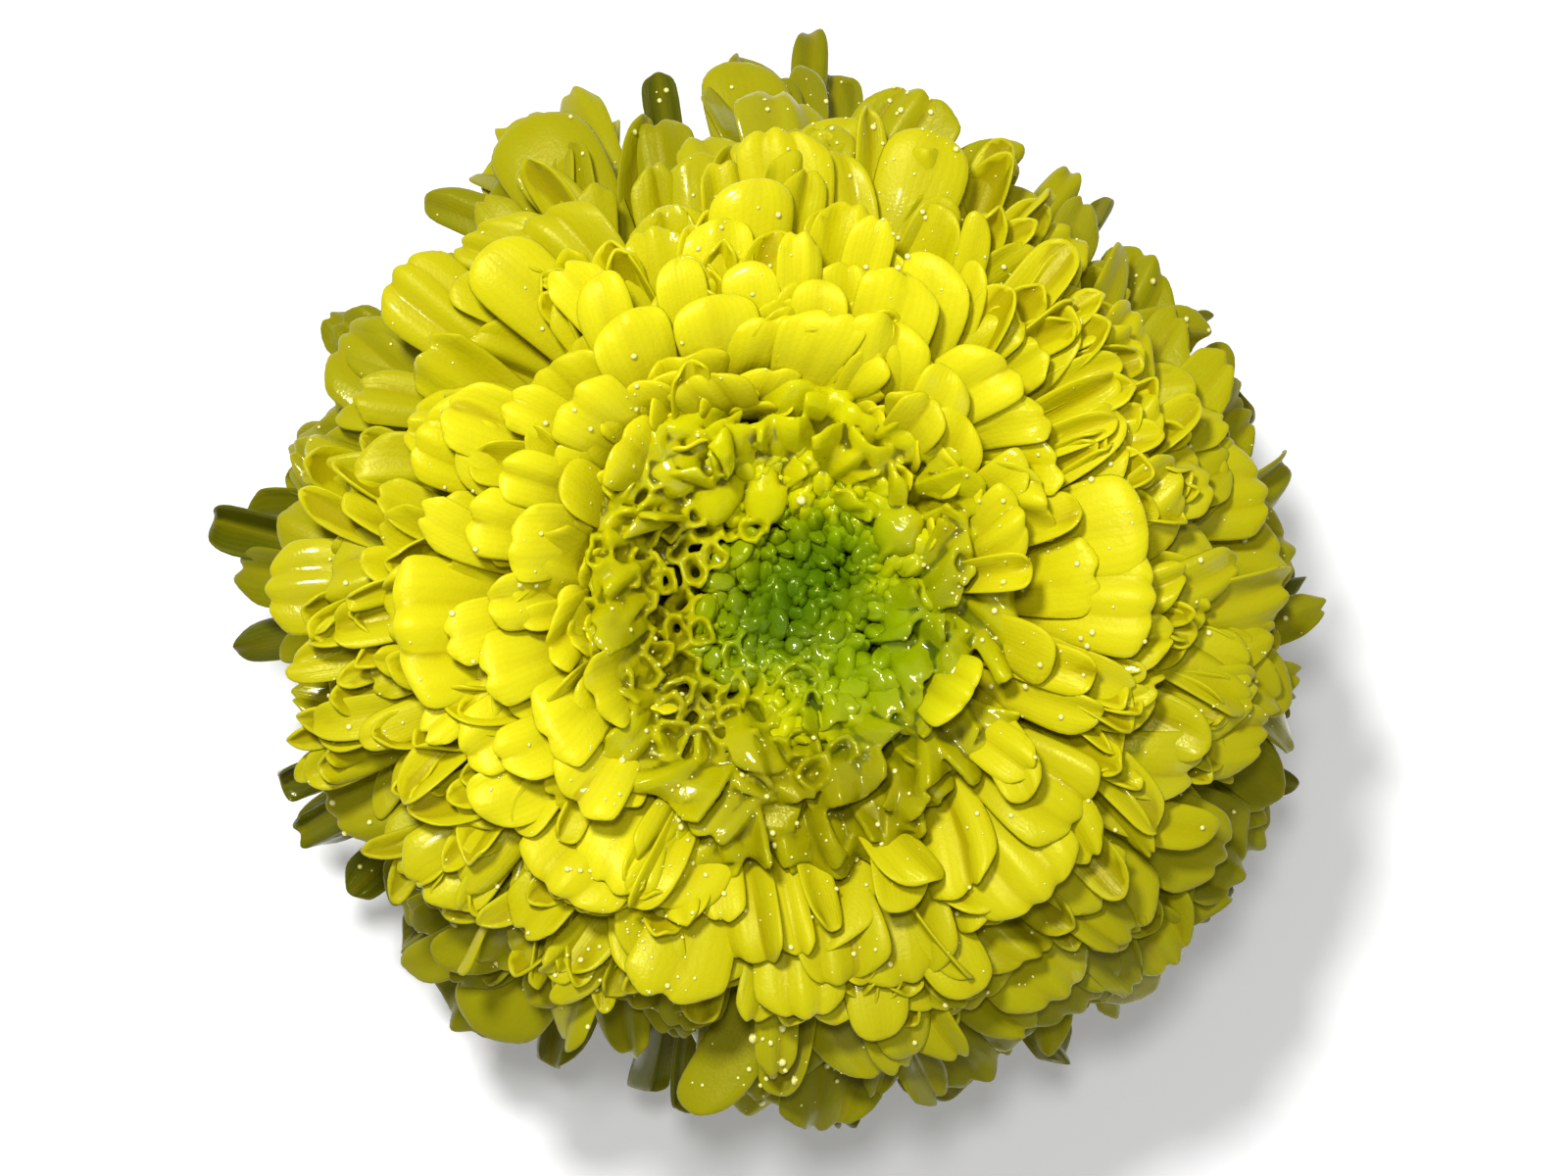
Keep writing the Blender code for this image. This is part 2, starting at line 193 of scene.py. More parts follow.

# Crumpled ends that stick out at the rim, darkened with painted shade: clock, reach and level of the tip,
# width, cut, and how much painted shade.
RIM = [
    (176, 41.2, 19, 4.2, "quill", 1.0), (185, 39.8, 17, 3.2, "finger", 1.0),
    (181, 39.2, 21, 4.6, "strap", 0.8), (0, 41.1, 20, 4.4, "strap", 1.0),
    (356, 40.6, 17, 4.0, "quill", 1.0), (346, 41.6, 19, 4.6, "strap", 0.95),
    (341, 40.6, 15, 4.2, "spoon", 1.0), (338, 43.4, 20, 2.8, "finger", 1.0),
    (328, 43.4, 17, 2.8, "finger", 1.0), (324, 42.6, 15, 4.2, "quill", 1.0),
    (318, 41.4, 12, 4.6, "strap", 1.0), (311, 41.2, 14, 4.2, "quill", 1.0),
    (303, 43.2, 17, 4.6, "strap", 0.9), (290, 41.8, 15, 6.4, "spoon", 0.9),
    (277, 42.0, 15, 3.6, "strap", 0.9), (261, 40.0, 16, 4.0, "quill", 0.95),
    (257, 39.4, 13, 4.6, "quill", 0.95), (243, 39.8, 14, 5.4, "spoon", 0.9),
    (233, 40.4, 16, 7.8, "broad", 0.8), (227, 38.8, 13, 4.6, "strap", 0.9),
    (215, 38.6, 14, 4.0, "quill", 1.0), (208, 39.6, 17, 4.8, "strap", 0.95),
    (203, 39.0, 15, 4.0, "quill", 1.0), (169, 38.6, 18, 4.4, "strap", 0.9),
    (148, 38.4, 19, 4.6, "strap", 0.8), (121, 39.6, 20, 8.0, "broad", 0.5),
    (113, 39.8, 19, 6.6, "broad", 0.55), (102.6, 39.6, 16, 3.0, "quill", 1.0),
    (89, 40.0, 20, 7.0, "spoon", 0.7), (84.7, 42.0, 21, 3.0, "finger", 0.8),
    (54.5, 38.6, 26, 3.0, "finger", 0.6), (46.4, 38.6, 23, 3.4, "quill", 0.9),
    (38, 38.4, 18, 3.8, "strap", 1.0), (33.6, 39.6, 22, 2.8, "finger", 0.9),
    (17.8, 39.4, 21, 4.8, "quill", 0.9), (9, 38.8, 17, 5.0, "strap", 0.95),
]

COLLAR_COUNT = 66
# How far in and out the collar's tips reach by the clock.
COLLAR_INNER = [(0, 8.8), (60, 9.2), (100, 9.0), (140, 11.2), (180, 12.4), (220, 12.4), (255, 10.2),
                (300, 8.8)]
COLLAR_OUTER = [(0, 18.0), (50, 16.2), (100, 14.8), (150, 15.0), (190, 15.4), (230, 17.2), (275, 18.4),
                (320, 17.8)]
COLLAR_TIP_HEIGHT = (41.4 * MM, 44.2 * MM)
COLLAR_TIP_DROP = 2.2 * MM
COLLAR_WIDTH = (3.8, 7.4)
# How the collar is melted into one skin.
COLLAR_WALL = 0.50 * MM
COLLAR_GRAIN = 0.16 * MM
COLLAR_SMOOTHING = {"factor": 0.5, "iterations": 6}
COLLAR_KEPT = 0.30
# The bowl that its tips keep under, as lowest level, rise, radius and bend; deep below it the collar takes
# the root's darker colours as painted shade.
COLLAR_BOWL = (38.4 * MM, 5.2 * MM, 13 * MM, 1.5)
COLLAR_DEPTH = 6.5 * MM
COLLAR_TONE = 0.4

# Ruffles that hang out over the petals below: clock, reach and height of the tip, width.
HANGING = [(224, 18.4, 40.6, 5.4), (233, 19.6, 40.2, 6.4), (243, 20.4, 40.0, 6.2), (253, 19.0, 40.8, 6.8),
           (262, 20.8, 40.0, 6.4), (271, 19.4, 40.6, 6.0), (281, 20.4, 40.0, 6.6), (291, 19.0, 40.6, 5.8),
           (301, 20.0, 40.2, 6.4), (311, 18.6, 40.8, 6.6), (322, 19.2, 40.8, 6.2)]
HANGING_REACH = 20.5 * MM

# Small yellow petals that close the gap between collar and head on the far side.
INNER_COUNT = 56
INNER_CLOCKS = (26, 222)
INNER_REACH = (11.5 * MM, 18.5 * MM)
INNER_HEIGHT = (42.4 * MM, 44.6 * MM)
INNER_WIDTH = (3.0, 5.4)

# Plump lobes that melt into the collar: where each lies, its length out from the heart and its width.
LOBES = [(-4.2, 7.2, 4.8, 3.2), (-1.0, 6.9, 4.4, 2.8), (-7.5, 8.6, 4.2, 3.0), (8.2, 4.2, 3.6, 2.8)]
LOBE_THICKNESS = (0.8, 1.1)
LOBE_SLOPE = 0.03
LOBE_LEAN = 0.2
LOBE_DENTS = 3
DENT_WAVES = 2.2
DENT_DEPTH = 0.13

# Small florets with open mouths; the trumpet they are copied from is 1 high.
TRUMPET = [(0.70, 0), (0.70, 0.45), (0.74, 0.74), (0.86, 0.90), (1.06, 1.0), (1.18, 0.985)]
CURLED_COUNT = 68
CURLED_CLOCKS = (116, 288)
CURLED_RADIUS = (4.4 * MM, 13.4 * MM)
CURLED_HEIGHT = (4.4, 5.4)
CURLED_WIDTH = (0.74, 0.98)
CURLED_GROWTH = (0.90, 1.12)

# Folded florets and buds: how far they lean, width, length in widths, height, how deep they are sunk, and how
# their colour runs: its share at the spot they stand on, and the rise over which it turns from root to tip.
# The dark root colour low down is painted shade between them.
Plump = namedtuple("Plump", "lean width length height sunk shade rise")
LUMP = Plump(0.5, (0.75, 1.15), (1.2, 1.8), (1.3, 1.9), 0.8, 0.55, 1.6)
LUMP_COUNT = 74
LUMP_CLOCKS = (262, 492)
LUMP_RADIUS = (5.2 * MM, 10.5 * MM)
LUMP_GROWTH = (0.85, 1.2)
BUD = Plump(0.8, (0.48, 0.92), (1.0, 2.2), (0.8, 1.4), 0.5, 0.62, 1.0)
BUD_COUNT = 100

# The heart lies aslant, and the small florets' mouths lie in a crater round it.
HEART_SPOT = (1.0, -0.1)
HEART_HALF = (8.2, 5.2)
HEART_SLANT = math.radians(48)
HEART_TOP = 38.0 * MM
CRATER_RISE = 4.2 * MM
CRATER_RADIUS = 13 * MM
CRATER_BEND = 1.7

# Where the flesh is green, and where painted shade darkens the collar: at its lower side, in the web on its
# left, and beside the heart. A spot is its strength, its middle's x and y, and its half sizes.
GREEN_SPOT = (1.5, -0.4)
GREEN_HALF = (7.4, 4.3)
HALO = (0.58, 5.0, -3.6, 9.0, 8.4)
COLLAR_SHADE_SPOTS = [(0.80, 4.0, -15.0, 11.0, 8.0), (0.55, -9.0, -2.5, 5.0, 7.0), (0.50, 11.0, -1.0, 5.0, 8.0)]
COLLAR_SHADE_EVERYWHERE = 0.06

# How creases are found: steps out over the skin, and the depth that counts as a full crease.
HOLLOW_STEPS = 6
HOLLOW_DEPTH = 0.22 * MM

# The calyx as rings of (radius, height), and by steps round a bract how far its ribs swell and its teeth
# rise.
CALYX_RINGS = [(4.3, 4.1), (5.5, 4.3), (7.0, 5.6), (8.2, 7.4), (9.3, 10.4), (9.9, 13.6), (10.15, 16.8),
               (10.3, 19.0)]
CALYX_STEPS = 64
BRACT_STEPS = 8
BRACT_RIBS = ((0, 1.055), (1, 1.022), (7, 1.022), (4, 0.985))
BRACT_TEETH = ((0, 2.2), (1, 1.4), (7, 1.4), (2, 0.6), (6, 0.6), (4, -0.9), (3, -0.5), (5, -0.5))
CALYX_WALL = 0.55 * MM

NECK_RINGS = [(2.0, 0.15), (2.5, 0.02), (3.2, 0.0), (3.35, 0.3), (3.45, 1.4), (3.6, 2.8), (3.75, 3.9),
              (4.0, 4.3), (4.6, 4.7), (5.4, 6.2), (5.2, 8.6), (3.0, 9.6)]
NECK_STEPS = 36

# Beads of water fall in showers that move on now and then, and stay on what faces up above a level.
DROP_COUNT = 700
DROP_SIZES = (0.09 * MM, 0.32 * MM)
LARGE_DROPS = 9
LARGE_DROP_SIZES = (0.38 * MM, 0.50 * MM)
DROP_SCATTER = 3.0 * MM
DROP_LEVEL = 14 * MM
DROP_UPRIGHT = 0.45
SHOWER_MOVES = 0.12
SHOWER_HEIGHT = 0.1
# Only the smallest beads lie on flesh greener than this.
DROP_GREEN = 0.3
# A bead is a ball cut off below its middle, then pressed flat to this height.
BEAD_CUT = 0.45
BEAD_FLATNESS = 0.78
BEAD_HEIGHT = 1.13
BEAD_LIFT = 0.3

# Area lights: place and size in metres, power in watts.
LIGHTS = [
    ("key", (-0.11, 0.15, 0.38), 0.06, 1.50),
    ("fill", (0.28, -0.36, 0.22), 0.50, 0.45),
    ("front", (-0.04, 0.06, 0.44), 0.05, 0.54),
]
LIGHT_AIM = Vector((0, 0, 30 * MM))
SKY_GLOW = 0.26
SKY_SEEN = 0.345
CAMERA_AIM = Vector((1.3 * MM, 0, 26 * MM))
CAMERA_DISTANCE = 0.30
CAMERA_TILT = math.radians(4)
CAMERA_VIEW = 115 * MM
CAMERA_SENSOR = 36


def only(piece):
    """Selects one piece and nothing else."""
    bpy.ops.object.select_all(action="DESELECT")
    piece.select_set(True)
    bpy.context.view_layer.objects.active = piece


def pick(piece, chosen):
    """In edit mode, selects the vertices that a test on their number and place picks out."""
    mesh = bmesh.from_edit_mesh(piece.data)
    for vertex in mesh.verts:
        vertex.select_set(bool(chosen(vertex.index, vertex.co)))
    mesh.select_flush_mode()
    bmesh.update_edit_mesh(piece.data)


def pick_all():
    bpy.ops.mesh.select_all(action="SELECT")


def move(x, y, z):
    """In edit mode, moves what is picked."""
    bpy.ops.transform.translate(value=(x, y, z))


def stretch(x, y, z, level=0):
    """In edit mode, stretches what is picked, away from the axis and a level."""
    bpy.ops.transform.resize(value=(x, y, z), center_override=(0, 0, level))


def begin_editing(piece, mode="VERT"):
    only(piece)
    bpy.ops.object.mode_set(mode="EDIT")
    bpy.ops.mesh.select_mode(type=mode)


def stop_editing():
    bpy.ops.object.mode_set(mode="OBJECT")


def named(name):
    """Names the piece that was just made."""
    piece = bpy.context.active_object
    piece.name = name
    piece.data.name = name
    return piece


def begun(name, add_primitive, **settings):
    """Adds a primitive, with nothing else selected."""
    bpy.ops.object.select_all(action="DESELECT")
    add_primitive(**settings)
    return named(name)


def finished(piece, *modifiers):
    """Applies modifiers, each (type, settings), in their order."""
    only(piece)
    for kind, settings in modifiers:
        bpy.ops.object.modifier_add(type=kind)
        modifier = piece.modifiers[-1]
        for setting, value in settings.items():
            setattr(modifier, setting, value)
        bpy.ops.object.modifier_apply(modifier=modifier.name)
    bpy.ops.object.shade_smooth()
    return piece


def leaf_wall(thickness):
    return ("SOLIDIFY", {"thickness": thickness, "offset": 0})


def thinned(ratio):
    return ("DECIMATE", {"ratio": ratio})


ROUNDING = ("SUBSURF", {"levels": 1, "render_levels": 1})


def copied(template, name):
    piece = template.copy()
    piece.data = template.data.copy()
    piece.name = name
    bpy.context.scene.collection.objects.link(piece)
    return piece


def joined(name, pieces):
    only(pieces[0])
    for piece in pieces:
        piece.select_set(True)
    bpy.ops.object.join()
    return named(name)


def remove(pieces):
    for piece in pieces:
        bpy.data.objects.remove(piece)


def spread(piece, attribute, values):
    """Writes one value to each vertex."""
    layer = piece.data.attributes.get(attribute) or piece.data.attributes.new(attribute, "FLOAT", "POINT")
    layer.data.foreach_set("value", np.broadcast_to(values, len(piece.data.vertices)).astype(np.float32))


def places(piece):
    points = np.empty(len(piece.data.vertices) * 3)
    piece.data.vertices.foreach_get("co", points)
    return points.reshape(-1, 3)


def put(piece, points):
    piece.data.vertices.foreach_set("co", points.astype(np.float32).ravel())
    piece.data.update()


def between(ends, share):
    return ends[0] + (ends[1] - ends[0]) * share


def spaced(ends, share):
    """A radius between two, so that florets lie evenly over the ring."""
    return math.sqrt(between((ends[0] ** 2, ends[1] ** 2), share))


def rising(value, span):
    """From 0 to 1 as a value goes from 0 to its span."""
    return min(1, max(0, value / span))


def astray(dice, degrees):
    """A small turn to either side."""
    return math.radians(dice.uniform(-degrees, degrees))


def along(points, share):
    """The point at that share of a line of (radius, height) points given in millimetres."""
    lengths = [math.dist(a, b) for a, b in zip(points, points[1:])]
    left = share * sum(lengths)
    for a, b, length in zip(points, points[1:], lengths):
        if left <= length:
            break
        left -= length
    return (between((a[0], b[0]), left / length) * MM, between((a[1], b[1]), left / length) * MM)


def girth(turn, sizes=GIRTH):
    """The girth at that turn, eased between the listed clocks."""
    clock = math.degrees(turn) % 360
    ring = sizes + [(360 + sizes[0][0], sizes[0][1])]
    for (low, first), (high, second) in zip(ring, ring[1:]):
        if low <= clock <= high:
            return between((first, second), (1 - math.cos(math.pi * (clock - low) / (high - low))) / 2)


def soft_spot(points, strength, middle_x, middle_y, half_x, half_y):
    x, y = points[:, 0] / MM - middle_x, points[:, 1] / MM - middle_y
    return strength * np.exp(-(x / half_x) ** 2 - (y / half_y) ** 2)


def green_at(points):
    """How green the flesh is: deep in the heart, which lies aslant, and paler to its lower right."""
    x, y = points[:, 0] / MM - GREEN_SPOT[0], points[:, 1] / MM - GREEN_SPOT[1]
    down, across = (x + y) / math.sqrt(2), (y - x) / math.sqrt(2)
    heart = np.exp(-(down / GREEN_HALF[0]) ** 2 - (across / GREEN_HALF[1]) ** 2)
    return np.clip(np.maximum(heart, soft_spot(points, *HALO)), 0, 1)


def collar_shade_at(points):
    """How much painted shade darkens the collar's flesh."""
    return np.clip(sum((soft_spot(points, *spot) for spot in COLLAR_SHADE_SPOTS), COLLAR_SHADE_EVERYWHERE), 0, 1)


def petal_template(name, cut):
    """A flat petal: across runs from -1 to 1, its length from 0 to 1, and its relief is in half widths."""
    rows, columns = len(STATIONS) - 1, cut.across + 1
    petal = begun(name, bpy.ops.mesh.primitive_grid_add, size=2, x_subdivisions=cut.across,
                  y_subdivisions=rows)
    begin_editing(petal)
    pick_all()
    move(0, 1, 0)
    stretch(1, 0.5, 1)
    for row, (station, width) in enumerate(zip(STATIONS, cut.widths)):
        pick(petal, lambda number, place: number // columns == row)
        move(0, station - row / rows, 0)
        stretch(width, 1, 1)
    for column in range(columns):
        x = 2 * column / cut.across - 1
        gap = min(abs(column - groove) for groove in cut.grooves)
        pick(petal, lambda number, place: number % columns == column)
        move(0, 0, cut.rolled * x * x - cut.depth * math.exp(-(gap * FLUTE_TIGHTNESS) ** 2))
        lobe = min(cut.lobes - 1, int((x + 1) / 2 * cut.lobes))
        off_lobe = x * cut.lobes - (2 * lobe + 1 - cut.lobes)
        for short, strength in LOBED_ROWS:
            pick(petal, lambda number, place: number == (rows - short) * columns + column)
            move(0, -strength * (cut.crown * x * x + cut.notch * off_lobe ** 2), 0)
    for short, turned_down in CURLED_ROWS:
        pick(petal, lambda number, place: number // columns == rows - short)
        move(0, 0, -cut.curl * turned_down)
    stop_editing()
    numbers = np.arange(len(petal.data.vertices)) % columns
    spread(petal, "flute", np.isin(numbers, cut.grooves).astype(float))
    return petal


def draped(template, stance, name):
    """Bends a copy of a flat petal along its stance."""
    petal = copied(template, name)
    across, share, relief = places(petal).T
    spread(petal, "length", share)
    across = across + stance.skew * (1 - across ** 2) * share
    root, tip = np.array(stance.root), np.array(stance.tip)
    reach = np.linalg.norm(tip - root)
    start = np.array((math.sin(stance.rise_angle), math.cos(stance.rise_angle))) * reach
    end = np.array((math.sin(stance.end_angle), math.cos(stance.end_angle))) * reach
    s = share[:, None]
    place = (root * (2 * s ** 3 - 3 * s ** 2 + 1) + start * (s ** 3 - 2 * s ** 2 + s)
             + tip * (3 * s ** 2 - 2 * s ** 3) + end * (s ** 3 - s ** 2))
    heading = (root * (6 * s ** 2 - 6 * s) + start * (3 * s ** 2 - 4 * s + 1)
               + tip * (6 * s - 6 * s ** 2) + end * (3 * s ** 2 - 2 * s))
    heading /= np.linalg.norm(heading, axis=1)[:, None]

    half = stance.width / 2
    ripples = np.sin(RUFFLE_WAVES * share + stance.phase + RUFFLE_SLANT * across)
    wave = stance.ruffle * np.abs(across) ** RUFFLE_BEND * ripples * share
    wave += stance.frill * share ** 3 * np.sin(FRILL_WAVES * across + FRILL_PHASE * stance.phase)
    lift = (relief + stance.cup * across ** 2 + wave) * half
    roll = stance.twist * share
    aside = across * half * np.cos(roll) - lift * np.sin(roll)
    above = across * half * np.sin(roll) + lift * np.cos(roll)
    radius = place[:, 0] - heading[:, 1] * above
    height = place[:, 1] + heading[:, 0] * above
    turn = stance.turn + stance.sweep * share ** 2
    height = TOP - np.logaddexp(0, (TOP - height) / SETTLE) * SETTLE
    put(petal, np.stack((np.cos(turn) * radius - np.sin(turn) * aside,
                         np.sin(turn) * radius + np.cos(turn) * aside,
                         np.logaddexp(0, height / SETTLE) * SETTLE + FLOOR_GAP), axis=1))
    return petal


def tip_on_head(tip_angle, stretch_out, turn):
    half_height = CROWN_RISE if tip_angle < math.pi / 2 else SKIRT_DROP
    level = math.copysign(abs(math.cos(tip_angle)) ** FULLNESS, math.cos(tip_angle))
    spread_out = math.sin(tip_angle) ** FULLNESS
    bulge = 1 + (girth(turn) - 1) * spread_out ** 2
    return (HEAD_RADIUS * stretch_out * bulge * spread_out, WIDEST_LEVEL + half_height * level)


def leaning(tip_angle):
    degrees = math.degrees(tip_angle)
    return math.radians(sum(term * degrees ** power for power, term in enumerate(END_ANGLE_TERMS)))


def petal_share(tip_angle):
    """Where in the order from crown to skirt a petal with that tip angle comes."""
    first, last = (math.cos(angle) for angle in PETAL_TIP_ANGLE)
    return min(1, max(0, (first - math.cos(tip_angle)) / (first - last)))


def tier_of(reach):
    """The tier of a petal on the crown, by how far out its tip lies in millimetres."""
    return min(TIERS - 1, int(petal_share(math.asin(min(1, reach / FULL_REACH))) * TIERS))


def bent(kind, dice):
    manner = MANNERS[kind]
    return {
        "cup": dice.uniform(*manner.cup),
        "sweep": astray(dice, manner.sweep),
        "twist": math.radians(dice.gauss(0, manner.twist)),
        "ruffle": dice.uniform(*manner.ruffle),
        "frill": dice.uniform(*manner.frill),
    }


def own_way(kind, dice):
    """All that makes one petal of a kind differ from the next."""
    skew = MANNERS[kind].skew
    return {**bent(kind, dice), "skew": dice.uniform(-skew, skew), "phase": dice.uniform(0, math.tau)}


def petal_stance(number, width, dice):
    share = ((number + 0.5) / PETAL_COUNT) ** PETAL_CROWDING
    cosine = between([math.cos(angle) for angle in PETAL_TIP_ANGLE], share)
    tip_angle = math.acos(cosine) + astray(dice, 4)
    turn = number * GOLDEN_ANGLE + astray(dice, 4)
    return Stance(
        turn=turn,
        root=along(BED_ROOTS, share),
        tip=tip_on_head(tip_angle, 1 + dice.uniform(-0.055, 0.035), turn),
        rise_angle=between(PETAL_RISE_ANGLE, share) + astray(dice, 5),
        end_angle=leaning(tip_angle) + math.radians(dice.uniform(-16, 24)),
        width=width,
        **own_way("petal", dice),
    )


def showpiece_stance(clock, reach, width, lift, dice):
    turn = math.radians(clock)
    spread_out = min(1, reach * MM / SHOWPIECE_SPAN)
    tip_angle = math.asin(spread_out ** (1 / FULLNESS))
    share = petal_share(tip_angle)
    level = tip_on_head(tip_angle, 1, turn)[1]
    return Stance(
        turn=turn,
        root=along(BED_ROOTS, share),
        tip=(reach * MM, level + lift * MM),
        rise_angle=between(PETAL_RISE_ANGLE, share),
        end_angle=leaning(tip_angle) + SHOWPIECE_DROOP,
        width=width * MM,
        cup=dice.uniform(-0.20, -0.05),
        sweep=astray(dice, 4),
        twist=astray(dice, 7),
        ruffle=dice.uniform(0.03, 0.08),
        frill=dice.uniform(0.0, 0.05),
        skew=dice.uniform(-0.10, 0.10),
        phase=dice.uniform(0, math.tau),
    )


def cluster_stance(clock, reach, dice):
    """A small floret of a crowd, turned and curled in its own way."""
    clock += dice.gauss(0, CLUSTER_SCATTER[0])
    reach += dice.gauss(0, CLUSTER_SCATTER[1])
    stance = showpiece_stance(clock, reach, dice.uniform(2.2, 4.0), dice.uniform(-0.8, 0.7), dice)
    end_angle = stance.end_angle + math.radians(dice.gauss(-26, 22))
    return stance._replace(end_angle=end_angle, **bent("crowded", dice))


def ray_stance(number, dice):
    clock = between(RAY_CLOCKS, number * GOLDEN_SHARE % 1) + dice.uniform(-3, 3)
    reach = between(RAY_REACH, number / RAY_COUNT)
    stance = showpiece_stance(clock, reach, dice.uniform(3.4, 6.6), dice.uniform(0.5, 1.6), dice)
    end_angle = math.radians(dice.uniform(86, 103))
    return stance._replace(rise_angle=math.radians(-14), end_angle=end_angle, **bent("ray", dice))


def collar_stance(number, dice):
    share = (number + 0.5) / COLLAR_COUNT
    turn = number * GOLDEN_ANGLE + astray(dice, 8)
    reach = between((girth(turn, COLLAR_INNER), girth(turn, COLLAR_OUTER)), share) * MM
    height = between(COLLAR_TIP_HEIGHT, share) - COLLAR_TIP_DROP * share ** 3
    return Stance(
        turn=turn,
        root=along(COLLAR_ROOTS, share),
        tip=(reach + dice.uniform(-1.2, 1.0) * MM, height + dice.uniform(-1.2, 1.0) * MM),
        rise_angle=math.radians(between((0, 12), share)),
        end_angle=math.radians(between((52, 112), share) + dice.uniform(-34, 26)),
        width=between(COLLAR_WIDTH, share) * dice.uniform(0.8, 1.25) * MM,
        **own_way("collar", dice),
    )


def hanging_stance(clock, reach, height, width, dice):
    return Stance(
        turn=math.radians(clock),
        root=along(COLLAR_ROOTS, 1),
        tip=(reach * MM, height * MM),
        rise_angle=math.radians(-2),
        end_angle=math.radians(dice.uniform(112, 136)),
        width=width * MM,
        **own_way("hanging", dice),
    )


def inner_stance(number, dice):
    share = (number + 0.5) / INNER_COUNT
    return Stance(
        turn=math.radians(between(INNER_CLOCKS, number * GOLDEN_SHARE % 1) + dice.uniform(-5, 5)),
        root=along(BED_ROOTS, 0),
        tip=(between(INNER_REACH, share) + dice.uniform(-0.6, 0.6) * MM,
             between(INNER_HEIGHT, share) + dice.uniform(-1.2, 0.6) * MM),
        rise_angle=math.radians(between((-6, 10), share)),
        end_angle=math.radians(between((10, 74), share) + dice.uniform(-20, 20)),
        width=between(INNER_WIDTH, share) * dice.uniform(0.8, 1.2) * MM,
        **own_way("inner", dice),
    )


def rim_stance(clock, reach, level, width, dice):
    return Stance(
        turn=math.radians(clock),
        root=along(BED_ROOTS, 1),
        tip=(reach * MM, level * MM),
        rise_angle=math.radians(96),
        end_angle=math.radians(dice.uniform(86, 124)),
        width=width * MM,
        **own_way("rim", dice),
    )


def petal_shade(stance):
    """How much painted shade darkens a petal: most at the rim and on the lower side away from the light, less
    on the skirt below.
    """
    reach, level = stance.tip
    below = SHADE_SIDE * max(0, math.cos(stance.turn - SHADE_CLOCK))
    below *= rising(reach - SHADE_SIDE_START, SHADE_SIDE_SPAN)
    shaded = rising(SKIRT_LEVEL - level, SKIRT_SPAN)
    return min(DARKEST_SHADE, rising(SHADE_LEVEL - level, SHADE_FALL) + below) * (1 - SKIRT_RELIEF * shaded)


def give_tones(petal, dice, painted_shade_and_dulling):
    spread(petal, "tone", dice.random())
    spread(petal, "painted_shade_and_dulling", painted_shade_and_dulling)
    spread(petal, "green", green_at(places(petal)))


def make_petals(templates, dice):
    """The yellow petals, from the crown down, and the ones that stand out; a list of them for each tier."""
    tiers = [[] for _ in range(TIERS)]

    def grow(tier, name, cut, stance, painted_shade_and_dulling):
        petal = draped(templates[cut], stance, name)
        give_tones(petal, dice, painted_shade_and_dulling)
        tiers[tier].append(petal)
        return petal

    weights = [often for often, *_ in YELLOW_MIX.values()]
    for number in range(PETAL_COUNT):
        cut = dice.choices(list(YELLOW_MIX), weights)[0]
        share = number / PETAL_COUNT
        width = dice.uniform(*YELLOW_MIX[cut][1:]) * MM * between(PETAL_GROWTH, share)
        stance = petal_stance(number, width, dice)
        clock = math.degrees(stance.turn) % 360
        if stance.tip[0] < HANGING_REACH and HANGING[0][0] <= clock <= HANGING[-1][0]:
            continue
        painted_shade_and_dulling = petal_shade(stance) + dice.uniform(0, DULL_LUCK)
        grow(int(share * TIERS), f"petal_{number}", cut, stance, painted_shade_and_dulling)
    for number, (clock, reach, width, cut, lift) in enumerate(SHOWPIECES):
        stance = showpiece_stance(clock, reach, width, lift, dice)
        grow(tier_of(reach), f"showpiece_{number}", cut, stance, petal_shade(stance))
    for clock, reach in CLUSTERS:
        for number in range(CLUSTER_SIZE):
            stance = cluster_stance(clock, reach, dice)
            name = f"crowded_{clock}_{number}"
            grow(tier_of(reach), name, dice.choice(CROWDED_CUTS), stance, petal_shade(stance))
    for number in range(RAY_COUNT):
        ray = grow(0, f"ray_{number}", dice.choice(FLAT_CUTS), ray_stance(number, dice), 0)
        # Painted light: the rays' tone is set lighter than any petal's random tone.
        spread(ray, "tone", RAY_PAINTED_LIGHT)
    for number in range(INNER_COUNT):
        grow(0, f"inner_{number}", dice.choice(FLAT_CUTS), inner_stance(number, dice), 0)
    for number, (clock, reach, level, width, cut, painted_shade_and_dulling) in enumerate(RIM):
        grow(-1, f"rim_{number}", cut, rim_stance(clock, reach, level, width, dice), painted_shade_and_dulling)
    return tiers


def make_collar(templates, dice):
    stances = [(dice.choice(COLLAR_CUTS), collar_stance(number, dice)) for number in range(COLLAR_COUNT)]
    stances += [("ruffled", hanging_stance(*ruffle, dice)) for ruffle in HANGING]
    petals = []
    for number, (cut, stance) in enumerate(stances):
        petals.append(draped(templates[cut], stance, f"collar_{number}"))
        give_tones(petals[-1], dice, 0)
    return petals


def give_hollows(piece):
    """Marks each place from 0 on a crest to 1 in a crease, by how its surroundings lie to it."""
    mesh = piece.data
    count = len(mesh.vertices)
    points = places(piece)
    normals = np.empty(count * 3)
    mesh.vertices.foreach_get("normal", normals)
    ends = np.empty(len(mesh.edges) * 2, dtype=int)
    mesh.edges.foreach_get("vertices", ends)
    first, second = ends[0::2], ends[1::2]
    beside = np.maximum(np.bincount(ends, minlength=count), 1)
    around = points.copy()
    for _ in range(HOLLOW_STEPS):
        for axis in range(3):
            sums = np.bincount(first, around[second, axis], count)
            sums += np.bincount(second, around[first, axis], count)
            around[:, axis] = sums / beside
    depth = ((around - points) * normals.reshape(-1, 3)).sum(axis=1)
    spread(piece, "hollow", np.clip(0.5 + depth / HOLLOW_DEPTH, 0, 1))


